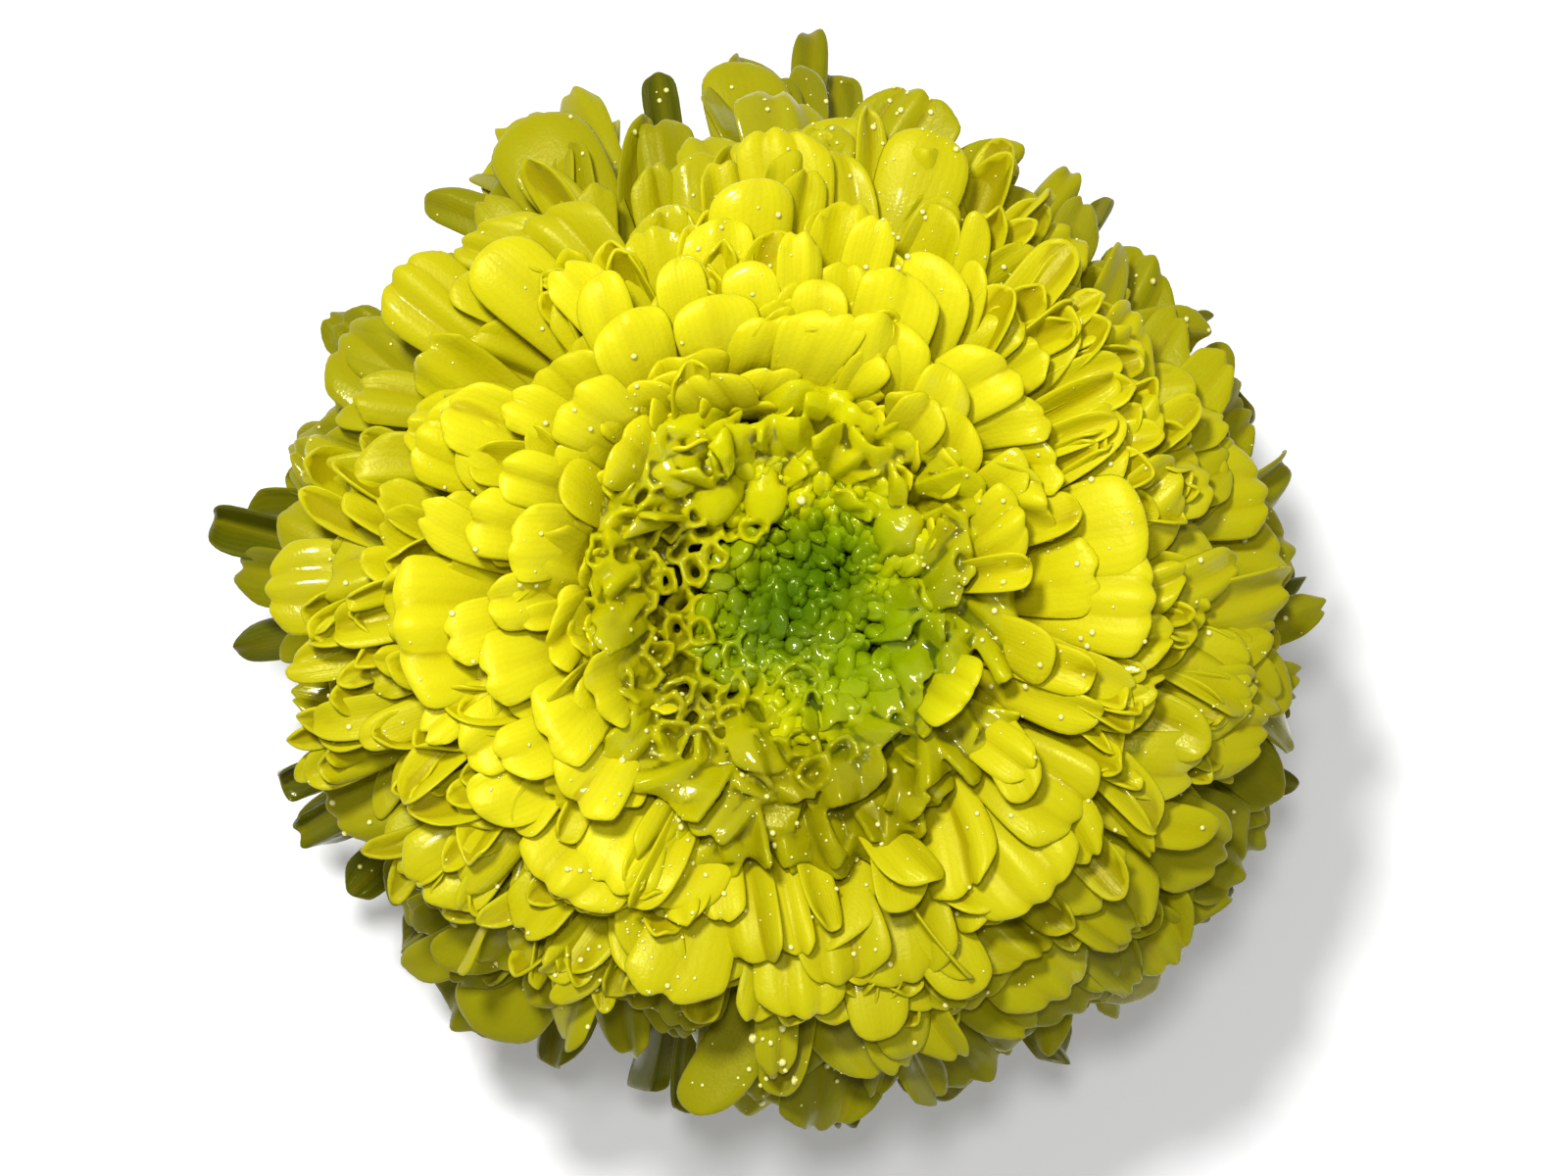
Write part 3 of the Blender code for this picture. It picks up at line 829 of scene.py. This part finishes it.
def fused_collar(petals):
    """The collar's florets run together under their film of water, so they are melted into one skin."""
    collar = finished(
        joined("collar_petals", petals),
        leaf_wall(COLLAR_WALL),
        ("REMESH", {"mode": "VOXEL", "voxel_size": COLLAR_GRAIN}),
        ("SMOOTH", COLLAR_SMOOTHING),
        thinned(COLLAR_KEPT),
    )
    points = places(collar)
    level, rise, radius, bend = COLLAR_BOWL
    bowl = level + rise * np.clip(np.hypot(points[:, 0], points[:, 1]) / radius, 0, 1) ** bend
    spread(collar, "tone", COLLAR_TONE)
    # The collar's painted shade: at its lower side, in the web on its left, beside the heart, and a little
    # everywhere.
    spread(collar, "painted_shade_and_dulling", collar_shade_at(points))
    spread(collar, "flute", 0)
    spread(collar, "green", green_at(points))
    # Deeper below the bowl, more of the root's darker colour: painted shade down in the collar.
    spread(collar, "length", np.clip(1 - (bowl - points[:, 2]) / COLLAR_DEPTH, 0, 1))
    return collar


def ringed(name, vertices, rings, closed=False, unit=MM):
    """A round skin drawn up from a circle: each ring is (radius, height) in that unit."""
    rings = [(radius * unit, height * unit) for radius, height in rings]
    radius, height = rings[0]
    skin = begun(name, bpy.ops.mesh.primitive_circle_add, vertices=vertices, radius=radius,
                 location=(0, 0, height), fill_type="NGON" if closed else "NOTHING")
    bpy.ops.object.transform_apply(location=True)
    begin_editing(skin, "EDGE")
    pick_all()
    extrude = bpy.ops.mesh.extrude_region_move if closed else bpy.ops.mesh.extrude_edges_move
    for (before, low), (after, high) in zip(rings, rings[1:]):
        extrude()
        move(0, 0, high - low)
        stretch(after / before, after / before, 1, high)
    pick_all()
    bpy.ops.mesh.normals_make_consistent(inside=False)
    stop_editing()
    return skin


def curled_template():
    """A small trumpet of a floret: its mouth flares into five curled lobes."""
    trumpet = ringed("curled_floret", 10, TRUMPET, unit=1)
    begin_editing(trumpet)
    for height, growth, lift in ((1.0, 1.12, 0.05), (0.985, 1.20, -0.02)):
        pick(trumpet, lambda number, place: abs(place.z - height) < 0.006 and number % 2)
        stretch(growth, growth, 1)
        move(0, 0, lift)
    stop_editing()
    return trumpet


def lobe_template():
    """A plump lobe, longest along x: narrower at its root, with a shallow flute down its back."""
    lobe = begun("lobe", bpy.ops.mesh.primitive_uv_sphere_add, segments=16, ring_count=10, radius=1)
    begin_editing(lobe)
    pick(lobe, lambda number, place: place.x < -0.2)
    stretch(1, 0.7, 0.8)
    pick(lobe, lambda number, place: place.z > 0.2 and abs(place.y) < 0.15)
    move(0, 0, -0.07)
    stop_editing()
    return lobe


def bud_template():
    """A closed bud: a plump egg, parted on top into three lobes that meet in a dimple."""
    bud = begun("bud", bpy.ops.mesh.primitive_uv_sphere_add, segments=12, ring_count=8, radius=1)
    begin_editing(bud)
    for turn in range(0, 360, 120):
        pick(bud, lambda number, place: place.z > 0.2 and
             abs((math.degrees(math.atan2(place.y, place.x)) - turn + 180) % 360 - 180) < 20)
        stretch(0.66, 0.66, 0.86)
    pick(bud, lambda number, place: place.z > 0.93)
    move(0, 0, -0.30)
    stop_editing()
    return bud


def drop_template():
    """A bead of water, cut off where it sits."""
    bead = begun("drop", bpy.ops.mesh.primitive_uv_sphere_add, segments=10, ring_count=7, radius=1)
    begin_editing(bead)
    pick_all()
    bpy.ops.mesh.bisect(plane_co=(0, 0, -BEAD_CUT), plane_no=(0, 0, 1), use_fill=True, clear_inner=True)
    pick_all()
    stretch(1, 1, BEAD_FLATNESS, -BEAD_CUT)
    stop_editing()
    spread(bead, "crown", (places(bead)[:, 2] + BEAD_CUT) / BEAD_HEIGHT)
    return bead


def placed(template, name, spot, up, spin, size):
    """A copy of a template, stood at a spot with its top towards up."""
    piece = copied(template, name)
    turned = Vector((0, 0, 1)).rotation_difference(up).to_matrix().to_4x4()
    piece.data.transform(Matrix.Translation(spot) @ turned @ Matrix.Rotation(spin, 4, "Z")
                         @ Matrix.Diagonal((*size, 1)))
    return piece


def upwards(dice, lean):
    """Up, but leaning any way by as much as that."""
    return Vector((dice.uniform(-lean, lean), dice.uniform(-lean, lean), 1))


def crater_height(radius):
    """The level that the small florets' mouths keep, from the sunk heart up to the collar."""
    return HEART_TOP + CRATER_RISE * (radius / CRATER_RADIUS) ** CRATER_BEND


def kneaded(lobe, dice):
    """Presses soft dents into a lobe that is 1 in radius."""
    points = places(lobe)
    for _ in range(LOBE_DENTS):
        across = np.array([dice.gauss(0, 1) for _ in range(3)])
        waves = np.sin(points @ (across * DENT_WAVES / np.linalg.norm(across)) + dice.uniform(0, math.tau))
        points = points * (1 + DENT_DEPTH * waves[:, None])
    put(lobe, points)


def make_lobes(template, dice):
    lobes = []
    for number, (x, y, length, width) in enumerate(LOBES):
        spot = Vector((x, y, 0)) * MM
        turn = math.atan2(y, x) + math.pi + astray(dice, 25)
        spot.z = crater_height(spot.length) + dice.uniform(0.0, 0.5) * MM
        up = Vector((-x * LOBE_SLOPE + dice.uniform(-LOBE_LEAN, LOBE_LEAN),
                     -y * LOBE_SLOPE + dice.uniform(-LOBE_LEAN, LOBE_LEAN), 1)).normalized()
        size = Vector((length / 2, width / 2, dice.uniform(*LOBE_THICKNESS))) * MM
        shape = copied(template, "shape")
        kneaded(shape, dice)
        lobes.append(placed(shape, f"lobe_{number}", spot, up, turn, size))
        remove([shape])
    return lobes


def crumpled(floret, dice):
    """Squeezes and bends a trumpet's mouth, each in its own way; the trumpet is 1 high."""
    x, y, z = places(floret).T
    turn = np.arctan2(y, x)
    mouth = np.clip((z - 0.5) / 0.5, 0, 1)

    def wave(least, most, waves):
        return dice.uniform(least, most) * np.sin(waves * turn + dice.uniform(0, math.tau))

    swell = 1 + mouth * (wave(0.10, 0.32, 2) + wave(0.05, 0.22, 3))
    lift = mouth * (wave(0.02, 0.07, 1) + wave(0.02, 0.06, 3))
    put(floret, np.stack((x * swell, y * swell, z + lift), axis=1))


def make_curled(template, dice):
    """Small florets with open curled mouths, most of them on the side away from the green."""
    florets = []
    for number in range(CURLED_COUNT):
        share = (number + 0.5) / CURLED_COUNT
        radius = spaced(CURLED_RADIUS, share)
        clock = between(CURLED_CLOCKS, number * GOLDEN_SHARE % 1)
        turn = math.radians(clock + dice.uniform(-4, 4))
        outward = Vector((math.cos(turn), math.sin(turn), 0))
        top = outward * radius + Vector((0, 0, crater_height(radius) + dice.uniform(-0.5, 0.9) * MM))
        up = (outward * dice.uniform(-0.3, 0.3) + upwards(dice, 0.25)).normalized()
        height = dice.uniform(*CURLED_HEIGHT) * MM
        width = dice.uniform(*CURLED_WIDTH) * MM * between(CURLED_GROWTH, share)
        shape = copied(template, "shape")
        crumpled(shape, dice)
        florets.append(placed(shape, f"curled_{number}", top - up * height, up, dice.uniform(0, math.tau),
                              (width, width, height)))
        remove([shape])
    return florets


def plump(template, name, spot, form, growth, dice):
    """A bud or folded floret, leaning, turned and drawn out in its own way."""
    up = upwards(dice, form.lean).normalized()
    width = dice.uniform(*form.width) * MM * growth
    piece = placed(template, name, spot, up, dice.uniform(0, math.tau),
                   (width * dice.uniform(*form.length), width, dice.uniform(*form.height) * MM))
    give_tones(piece, dice, 0)
    spread(piece, "flute", 0)
    # Lower on the piece, more of the root's dark colour: painted shade between the buds and florets.
    spread(piece, "length", np.clip(form.shade + (places(piece)[:, 2] - spot.z) / (form.rise * MM), 0, 1))
    return piece


def make_lumps(template, dice):
    """Folded young florets round the other side of the heart, like plump lobes."""
    lumps = []
    for number in range(LUMP_COUNT):
        share = (number + 0.5) / LUMP_COUNT
        radius = spaced(LUMP_RADIUS, share)
        turn = math.radians(between(LUMP_CLOCKS, number * GOLDEN_SHARE % 1) + dice.uniform(-4, 4))
        level = crater_height(radius) - LUMP.sunk * MM
        spot = Vector((math.cos(turn) * radius, math.sin(turn) * radius, level))
        lumps.append(plump(template, f"lump_{number}", spot, LUMP, between(LUMP_GROWTH, share), dice))
    return lumps


def make_buds(template, dice):
    """The closed buds of the heart, which lies aslant."""
    buds = []
    slant = Matrix.Rotation(HEART_SLANT, 4, "Z")
    for number in range(BUD_COUNT):
        radius = math.sqrt((number + 0.5) / BUD_COUNT)
        turn = number * GOLDEN_ANGLE
        flat = Vector((math.cos(turn) * radius * HEART_HALF[0], math.sin(turn) * radius * HEART_HALF[1], 0))
        spot = (slant @ flat + Vector((*HEART_SPOT, 0))) * MM
        spot.z = crater_height(spot.length) - BUD.sunk * MM + dice.uniform(-0.3, 0.3) * MM
        buds.append(plump(template, f"bud_{number}", spot, BUD, 1, dice))
    return buds


def make_bed():
    """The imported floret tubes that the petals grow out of, and the mound that carries the heart."""
    bed = ringed("floret_bed", 40, BED_PROFILE, closed=True)
    begin_editing(bed)
    pick(bed, lambda number, place: number % 2 and place.z > 12 * MM)
    stretch(0.955, 0.955, 1)
    stop_editing()
    return finished(bed, ROUNDING)


def column_of(place, steps):
    return round(math.atan2(place.y, place.x) / math.tau * steps) % steps


def make_calyx():
    """The cup of joined bracts: a rib down each, and a pointed tooth at the rim."""
    cup = ringed("calyx_cup", CALYX_STEPS, CALYX_RINGS)

    def pick_step(level, step):
        pick(cup, lambda number, place:
             place.z > level and column_of(place, CALYX_STEPS) % BRACT_STEPS == step)

    begin_editing(cup)
    for step, swell in BRACT_RIBS:
        pick_step(4.2 * MM, step)
        stretch(swell, swell, 1)
    for step, rise in BRACT_TEETH:
        pick_step(18.5 * MM, step)
        move(0, 0, rise * MM)
    stop_editing()
    return finished(cup, leaf_wall(CALYX_WALL), ROUNDING)


def make_neck():
    """The swollen neck, grooved along its length, cut across."""
    neck = ringed("neck", NECK_STEPS, NECK_RINGS, closed=True)
    begin_editing(neck)
    pick(neck, lambda number, place: 0.2 * MM < place.z < 4.5 * MM and column_of(place, NECK_STEPS) % 4 == 0)
    stretch(0.93, 0.93, 1)
    stop_editing()
    return finished(neck, ROUNDING)


def skin_of(pieces):
    points, faces = [], []
    for piece in pieces:
        first = len(points)
        points += [vertex.co.copy() for vertex in piece.data.vertices]
        faces += [[first + number for number in polygon.vertices] for polygon in piece.data.polygons]
    return points, faces


def make_drops(template, wet, dice):
    """Beads of water where rain would lie: on what faces up, found by dropping a line on it."""
    surface = BVHTree.FromPolygons(*skin_of(wet))
    beads = []
    shower = Vector((0, 0, SHOWER_HEIGHT))
    sizes = [dice.uniform(*LARGE_DROP_SIZES) for _ in range(LARGE_DROPS)]
    sizes += [between(DROP_SIZES, dice.random() ** 3) for _ in range(DROP_COUNT)]
    while len(beads) < len(sizes):
        if dice.random() < SHOWER_MOVES:
            radius, turn = HEAD_RADIUS * math.sqrt(dice.random()), dice.uniform(0, math.tau)
            shower = Vector((math.cos(turn) * radius, math.sin(turn) * radius, SHOWER_HEIGHT))
        above = shower + Vector((dice.gauss(0, DROP_SCATTER), dice.gauss(0, DROP_SCATTER), 0))
        spot, normal, _, _ = surface.ray_cast(above, Vector((0, 0, -1)))
        size = sizes[len(beads)]
        if spot is None or normal.z < DROP_UPRIGHT or spot.z < DROP_LEVEL:
            continue
        greenness = green_at(np.array([spot]))[0]
        if greenness > DROP_GREEN and size > DROP_SIZES[0] * 2:
            continue
        bead = placed(template, f"drop_{len(beads)}", spot + normal * size * BEAD_LIFT, normal,
                      dice.uniform(0, math.tau), (size, size * dice.uniform(0.85, 1), size))
        spread(bead, "green", greenness)
        beads.append(bead)
    return beads


class Wiring:
    """Adds nodes to a tree: an input is a value, or another node's output to link from."""

    def __init__(self, tree):
        self.tree = tree

    def feed(self, node, inputs):
        for socket, value in inputs.items():
            if isinstance(value, bpy.types.NodeSocket):
                self.tree.links.new(value, node.inputs[socket])
            else:
                node.inputs[socket].default_value = value

    def add(self, kind, inputs=None, **settings):
        node = self.tree.nodes.new(kind)
        for setting, value in settings.items():
            setattr(node, setting, value)
        self.feed(node, inputs or {})
        return node

    def math(self, operation, first, second=0.0):
        return self.add("ShaderNodeMath", {0: first, 1: second}, operation=operation).outputs[0]

    def times(self, first, second):
        return self.math("MULTIPLY", first, second)

    def plus(self, first, second):
        return self.math("ADD", first, second)

    def blend(self, share, first, second):
        return self.add("ShaderNodeMix", {"Factor": share, 6: first, 7: second}, data_type="RGBA").outputs[2]

    def ease(self, value, low, high, start=0.0, end=1.0):
        inputs = {"Value": value, "From Min": low, "From Max": high, "To Min": start, "To Max": end}
        return self.add("ShaderNodeMapRange", inputs, interpolation_type="SMOOTHSTEP").outputs[0]

    def read(self, attribute):
        return self.add("ShaderNodeAttribute", attribute_name=attribute).outputs["Fac"]

    def place(self):
        return self.add("ShaderNodeTexCoord").outputs["Object"]

    def noise(self, place, scale, detail):
        inputs = {"Vector": place, "Scale": scale, "Detail": detail}
        return self.add("ShaderNodeTexNoise", inputs).outputs["Fac"]

    def cells(self, place, scale):
        return self.add("ShaderNodeTexVoronoi", {"Vector": place, "Scale": scale}).outputs["Distance"]

    def group(self, tree, inputs=None):
        return self.add("ShaderNodeGroup", inputs, node_tree=tree).outputs

    def bump(self, height, strength, distance):
        inputs = {"Strength": strength, "Distance": distance, "Height": height}
        return self.add("ShaderNodeBump", inputs).outputs[0]


def new_group(name, inputs, outputs):
    """A node group with named sockets: inputs with their values, and outputs."""
    tree = bpy.data.node_groups.new(name, "ShaderNodeTree")
    for socket, value in inputs.items():
        made = tree.interface.new_socket(socket, in_out="INPUT", socket_type="NodeSocketFloat")
        made.default_value = value
    for socket in outputs:
        tree.interface.new_socket(socket, in_out="OUTPUT", socket_type="NodeSocketFloat")
    net = Wiring(tree)
    return net, net.add("NodeGroupInput").outputs, net.add("NodeGroupOutput")


def veins_group():
    """Fine lines down a petal's length, from its own UV map, as a mask."""
    net, inlet, outlet = new_group("petal_veins", {"Lines": 14.0, "Tone": 0.5}, ["Mask"])
    place = net.add("ShaderNodeUVMap", uv_map="UVMap").outputs[0]
    split = net.add("ShaderNodeSeparateXYZ", {0: place})
    across = net.plus(split.outputs[0], net.times(net.noise(place, 3.0, 2.0), 0.10))
    phase = net.times(net.plus(across, inlet["Tone"]), inlet["Lines"])
    wave = net.math("SINE", net.times(phase, math.tau))
    lines = net.plus(net.times(wave, 0.5), 0.5)
    net.feed(outlet, {"Mask": net.math("POWER", lines, 2.0)})
    return net.tree


def wet_group():
    """Where a film of water lies, as a mask of broken patches, and its fine ripple."""
    net, inlet, outlet = new_group("wet_film", {"Patches": 130.0, "Amount": 0.5}, ["Mask", "Ripple"])
    place = net.place()
    level = net.math("SUBTRACT", 0.78, net.times(inlet["Amount"], 0.4))
    film = net.ease(net.noise(place, inlet["Patches"], 2.0), level, net.plus(level, 0.10))
    net.feed(outlet, {"Mask": film, "Ripple": net.noise(place, 1500.0, 1.0)})
    return net.tree


def flesh_group():
    """Uneven colour of living tissue: soft blotches and fine grain, as two masks."""
    net, inlet, outlet = new_group("flesh_grain", {"Blotches": 160.0}, ["Blotch", "Grain"])
    place = net.place()
    blotch = net.ease(net.noise(place, inlet["Blotches"], 2.0), 0.36, 0.64)
    net.feed(outlet, {"Blotch": blotch, "Grain": net.cells(place, 4200.0)})
    return net.tree


def new_material(name):
    material = bpy.data.materials.new(name)
    material.use_nodes = True
    return material, Wiring(material.node_tree), material.node_tree.nodes["Principled BSDF"]


def rgb(red, green, blue):
    return (red, green, blue, 1.0)


# In each set of colours, the one that the flesh turns to at the rim, on the lower side and in the collar's
# dark spots, and the crease colour, are painted shade; the root colour is partly the flesh's own and partly
# painted shade deep down; the paler colour is the flesh's own lighter tone and also painted light on crests
# and on the bright side's rays; the groove colour is painted shade down the flutes and also colours the
# veins.
YELLOW = {"root": rgb(0.34, 0.25, 0.0005), "tip": rgb(0.59, 0.54, 0.002), "warm": rgb(0.54, 0.46, 0.001),
          "pale_and_lit": rgb(0.68, 0.63, 0.010), "dark_shade": rgb(0.072, 0.08, 0.001), "lime": rgb(0.40, 0.46, 0.002),
          "deep": rgb(0.15, 0.30, 0.002), "groove": rgb(0.34, 0.27, 0.001), "crease": rgb(0.30, 0.22, 0.0005)}
COLLAR = {"root": rgb(0.20, 0.17, 0.0005), "tip": rgb(0.50, 0.47, 0.001), "warm": rgb(0.40, 0.35, 0.001),
          "pale_and_lit": rgb(0.58, 0.57, 0.002), "dark_shade": rgb(0.22, 0.20, 0.001), "lime": rgb(0.22, 0.31, 0.0005),
          "deep": rgb(0.10, 0.22, 0.001), "groove": rgb(0.28, 0.31, 0.002), "crease": rgb(0.10, 0.09, 0.0005)}
HEART = {"root": rgb(0.03, 0.06, 0.001), "tip": rgb(0.22, 0.25, 0.0005), "warm": rgb(0.17, 0.20, 0.0005),
         "pale_and_lit": rgb(0.28, 0.35, 0.001), "dark_shade": rgb(0.40, 0.41, 0.01), "lime": rgb(0.15, 0.22, 0.0005),
         "deep": rgb(0.075, 0.15, 0.0005), "groove": rgb(0.06, 0.12, 0.001),
         "crease": rgb(0.02, 0.05, 0.0005)}
CREASE_SHADE_GREEN = HEART["crease"]
SHINE = rgb(1.0, 0.95, 0.30)
GLAND = rgb(0.55, 0.60, 0.16)

# Finishes of the flesh: colours, count of lines down it, how wet it is, and how strongly painted shade shows
# in its creases and painted light on its crests.
Flesh = namedtuple("Flesh", "colours lines wetness roughness subsurface crease")
LEMON = Flesh(YELLOW, 11.0, 0.50, 0.36, 0.06, 0.55)
WAXY = Flesh(COLLAR, 0, 0.76, 0.25, 0.16, 0.95)
GREEN = Flesh(HEART, 0, 0.72, 0.24, 0.12, 0.9)


def flesh_material(name, groups, look):
    """A petal's finish: its colour runs from root to tip, greener towards the heart, darker with painted
    shade at the rim, on the lower side and in hollows, and lighter on crests as painted light.
    """
    material, net, shader = new_material(name)
    tone, green, painted_shade_and_dulling, flute, length, hollow = (
        net.read(word) for word in ("tone", "green", "painted_shade_and_dulling", "flute", "length", "hollow"))
    flesh = net.group(groups["flesh"])
    wet = net.group(groups["wet"], {"Amount": look.wetness})
    # Painted shade in creases, found from how hollow the skin is.
    painted_crease_shade = net.ease(hollow, 0.52, 0.95, 0.0, look.crease)

    # Each layer is how much of it shows, and its colour.
    layers = [
        (net.times(flesh["Blotch"], 0.40), "warm"),
        (net.times(tone, 0.35), "pale_and_lit"),
        # Painted shade in creases, then lighter flesh on crests as painted light.
        (painted_crease_shade, "crease"),
        (net.ease(hollow, 0.46, 0.10, 0.0, look.crease * 0.6), "pale_and_lit"),
        # Painted shade at the rim, on the lower side, over the bed and in the collar's dark spots; some
        # petals take a random dulling with it.
        (painted_shade_and_dulling, "dark_shade"),
        (net.ease(green, 0.10, 0.60), "lime"),
        (net.ease(green, 0.45, 0.95), "deep"),
        # Painted shade down the flutes.
        (net.times(flute, 0.22), "groove"),
    ]
    # Root to tip: the darker root is partly the flesh's own colour and partly painted shade down among the
    # petals.
    colour = net.blend(net.ease(length, 0.25, 0.90), look.colours["root"], look.colours["tip"])
    for share, word in layers:
        colour = net.blend(share, colour, look.colours[word])
    # Painted shade: the heart's creases turn near black green.
    colour = net.blend(net.times(painted_crease_shade, net.ease(green, 0.1, 0.5)), colour, CREASE_SHADE_GREEN)
    height = net.plus(net.times(flesh["Grain"], 0.3), net.times(wet["Ripple"], 0.5))
    if look.lines:
        veins = net.group(groups["veins"], {"Lines": look.lines, "Tone": tone})["Mask"]
        colour = net.blend(net.times(veins, 0.06), colour, look.colours["groove"])
        height = net.math("SUBTRACT", height, net.times(veins, 0.12))

    dry = net.plus(look.roughness - 0.05, net.times(flesh["Blotch"], 0.12))
    net.feed(shader, {
        "Base Color": colour,
        "Roughness": net.add("ShaderNodeMix", {"Factor": wet["Mask"], 2: dry, 3: 0.14}).outputs[0],
        "Coat Weight": net.times(wet["Mask"], 0.7),
        "Coat Roughness": 0.12,
        "Subsurface Weight": look.subsurface,
        "Subsurface Radius": (1.0, 0.6, 0.05),
        "Subsurface Scale": 1.1 * MM,
        "Specular IOR Level": 0.24,
        "Specular Tint": SHINE,
        "Normal": net.bump(height, 0.35, 0.12 * MM),
    })
    return material


def stem_material(name, groups, fresh, shade, stripes):
    """The green of calyx and neck: lengthwise stripes, oil glands as paler specks, a waxy bloom."""
    material, net, shader = new_material(name)
    place = net.place()
    split = net.add("ShaderNodeSeparateXYZ", {0: place})
    turn = net.math("ARCTAN2", split.outputs[1], split.outputs[0])
    stripe = net.math("SINE", net.times(turn, stripes))
    blotch = net.group(groups["flesh"])["Blotch"]
    speck = net.ease(net.cells(place, 700.0), 0.22, 0.12)
    colour = net.blend(net.ease(stripe, -1.0, 1.0), fresh, shade)
    colour = net.blend(net.times(blotch, 0.4), colour, shade)
    height = net.plus(net.times(speck, 0.6), net.times(stripe, 0.3))
    net.feed(shader, {
        "Base Color": net.blend(net.times(speck, 0.5), colour, GLAND),
        "Roughness": net.ease(blotch, 0.0, 1.0, 0.38, 0.52),
        "Subsurface Weight": 0.08,
        "Subsurface Scale": 1.0 * MM,
        "Normal": net.bump(height, 0.4, 0.15 * MM),
    })
    return material


def water_material():
    """Clear beads: mostly see-through, with a painted highlight that turns them lighter and less see-through
    towards their tops, where light would gather, and a hard shine.
    """
    material, net, shader = new_material("rain_water")
    crown = net.read("crown")
    green = net.ease(net.read("green"), 0.1, 0.7)
    flesh = net.blend(green, rgb(0.66, 0.60, 0.01), rgb(0.12, 0.24, 0.01))
    net.feed(shader, {
        # Painted highlight: towards the top a bead is painted a light yellow-white and made less see-through.
        "Base Color": net.blend(net.ease(crown, 0.55, 0.98), flesh, rgb(1.0, 0.95, 0.34)),
        "Alpha": net.ease(crown, 0.5, 1.0, 0.12, 0.85),
        "Roughness": 0.24,
        "IOR": 1.9,
    })
    return material


def dress(piece, material, slot, *nodes):
    """Gives a piece its finish, its body and the solids that it stands for."""
    piece.data.materials.clear()
    piece.data.materials.append(material)
    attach(piece, "root")
    if nodes:
        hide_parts(*nodes)


def make_stage():
    floor = begun("floor", bpy.ops.mesh.primitive_plane_add, size=6, location=(0, 0, -0.1 * MM))
    material, net, shader = new_material("pale_floor")
    net.feed(shader, {
        "Base Color": rgb(0.92, 0.92, 0.92),
        "Roughness": 0.8,
        "Emission Color": rgb(1, 1, 1),
        "Emission Strength": 0.10,
    })
    floor.data.materials.append(material)

    for name, spot, size, power in LIGHTS:
        lamp = bpy.data.lights.new(name, "AREA")
        lamp.shape = "DISK"
        lamp.size = size
        lamp.energy = power
        light = bpy.data.objects.new(name, lamp)
        light.location = spot
        light.rotation_euler = (LIGHT_AIM - Vector(spot)).to_track_quat("-Z", "Y").to_euler()
        bpy.context.scene.collection.objects.link(light)

    world = bpy.data.worlds.new("studio")
    world.use_nodes = True
    sky = Wiring(world.node_tree)
    direct = sky.add("ShaderNodeLightPath").outputs["Is Camera Ray"]
    strength = sky.ease(direct, 0, 1, SKY_GLOW, SKY_SEEN)
    sky.feed(world.node_tree.nodes["Background"], {"Color": rgb(1, 1, 1), "Strength": strength})
    bpy.context.scene.world = world
    bpy.context.scene.view_settings.view_transform = "Standard"


def make_camera():
    """Looks straight down on the head, a little from the left, as the photo does."""
    camera = bpy.data.objects.new("camera", bpy.data.cameras.new("camera"))
    camera.data.sensor_width = CAMERA_SENSOR
    camera.data.lens = CAMERA_SENSOR * CAMERA_DISTANCE / CAMERA_VIEW
    away = Vector((-math.sin(CAMERA_TILT), 0, math.cos(CAMERA_TILT)))
    camera.location = CAMERA_AIM + away * CAMERA_DISTANCE
    camera.rotation_euler = (0, -CAMERA_TILT, 0)
    bpy.context.scene.collection.objects.link(camera)
    bpy.context.scene.camera = camera


def main():
    dice = random.Random(20)
    templates = {name: petal_template(name, cut) for name, cut in CUTS.items()}
    tiers = make_petals(templates, dice)
    yellow = [joined(f"petals_tier_{number + 1}", petals) for number, petals in enumerate(tiers)]
    for tier in yellow:
        finished(tier, leaf_wall(PETAL_THICKNESS), ROUNDING, thinned(TIERS_KEPT))
    trumpet = curled_template()
    lobe = lobe_template()
    collar = fused_collar(make_collar(templates, dice) + make_curled(trumpet, dice) + make_lobes(lobe, dice))
    egg = bud_template()
    lumps = finished(joined("young_florets", make_lumps(egg, dice)))
    heart = finished(joined("heart_buds", make_buds(egg, dice)))
    bed = make_bed()
    # The bed takes the darkest painted shade and the root's colour all over, as it lies deep in shade under
    # the petals.
    give_tones(bed, dice, 1)
    spread(bed, "length", 0)
    bead = drop_template()
    drops = finished(joined("water_drops", make_drops(bead, yellow + [collar, lumps, heart], dice)))
    remove([*templates.values(), trumpet, lobe, egg, bead])

    groups = {"veins": veins_group(), "wet": wet_group(), "flesh": flesh_group()}
    lemon = flesh_material("lemon_petal", groups, LEMON)
    waxy = flesh_material("waxy_collar", groups, WAXY)
    green = flesh_material("heart_flesh", groups, GREEN)
    for piece in (*yellow, collar, lumps, heart, bed):
        give_hollows(piece)
    for piece in (*yellow, bed):
        dress(piece, lemon, "lemon_petal", "petals")
    for piece in (collar, lumps):
        dress(piece, waxy, "yellow_green_petal", "collar_florets")
    dress(heart, green, "heart_green", "heart_florets")
    calyx_green = stem_material("calyx_green", groups, rgb(0.20, 0.34, 0.05), rgb(0.09, 0.20, 0.02), 32.0)
    neck_green = stem_material("neck_green", groups, rgb(0.34, 0.46, 0.12), rgb(0.16, 0.30, 0.05), 18.0)
    dress(make_calyx(), calyx_green, "calyx_green", "calyx")
    dress(make_neck(), neck_green, "neck_green", "receptacle")
    dress(drops, water_material(), None)

    make_stage()
    make_camera()


main()
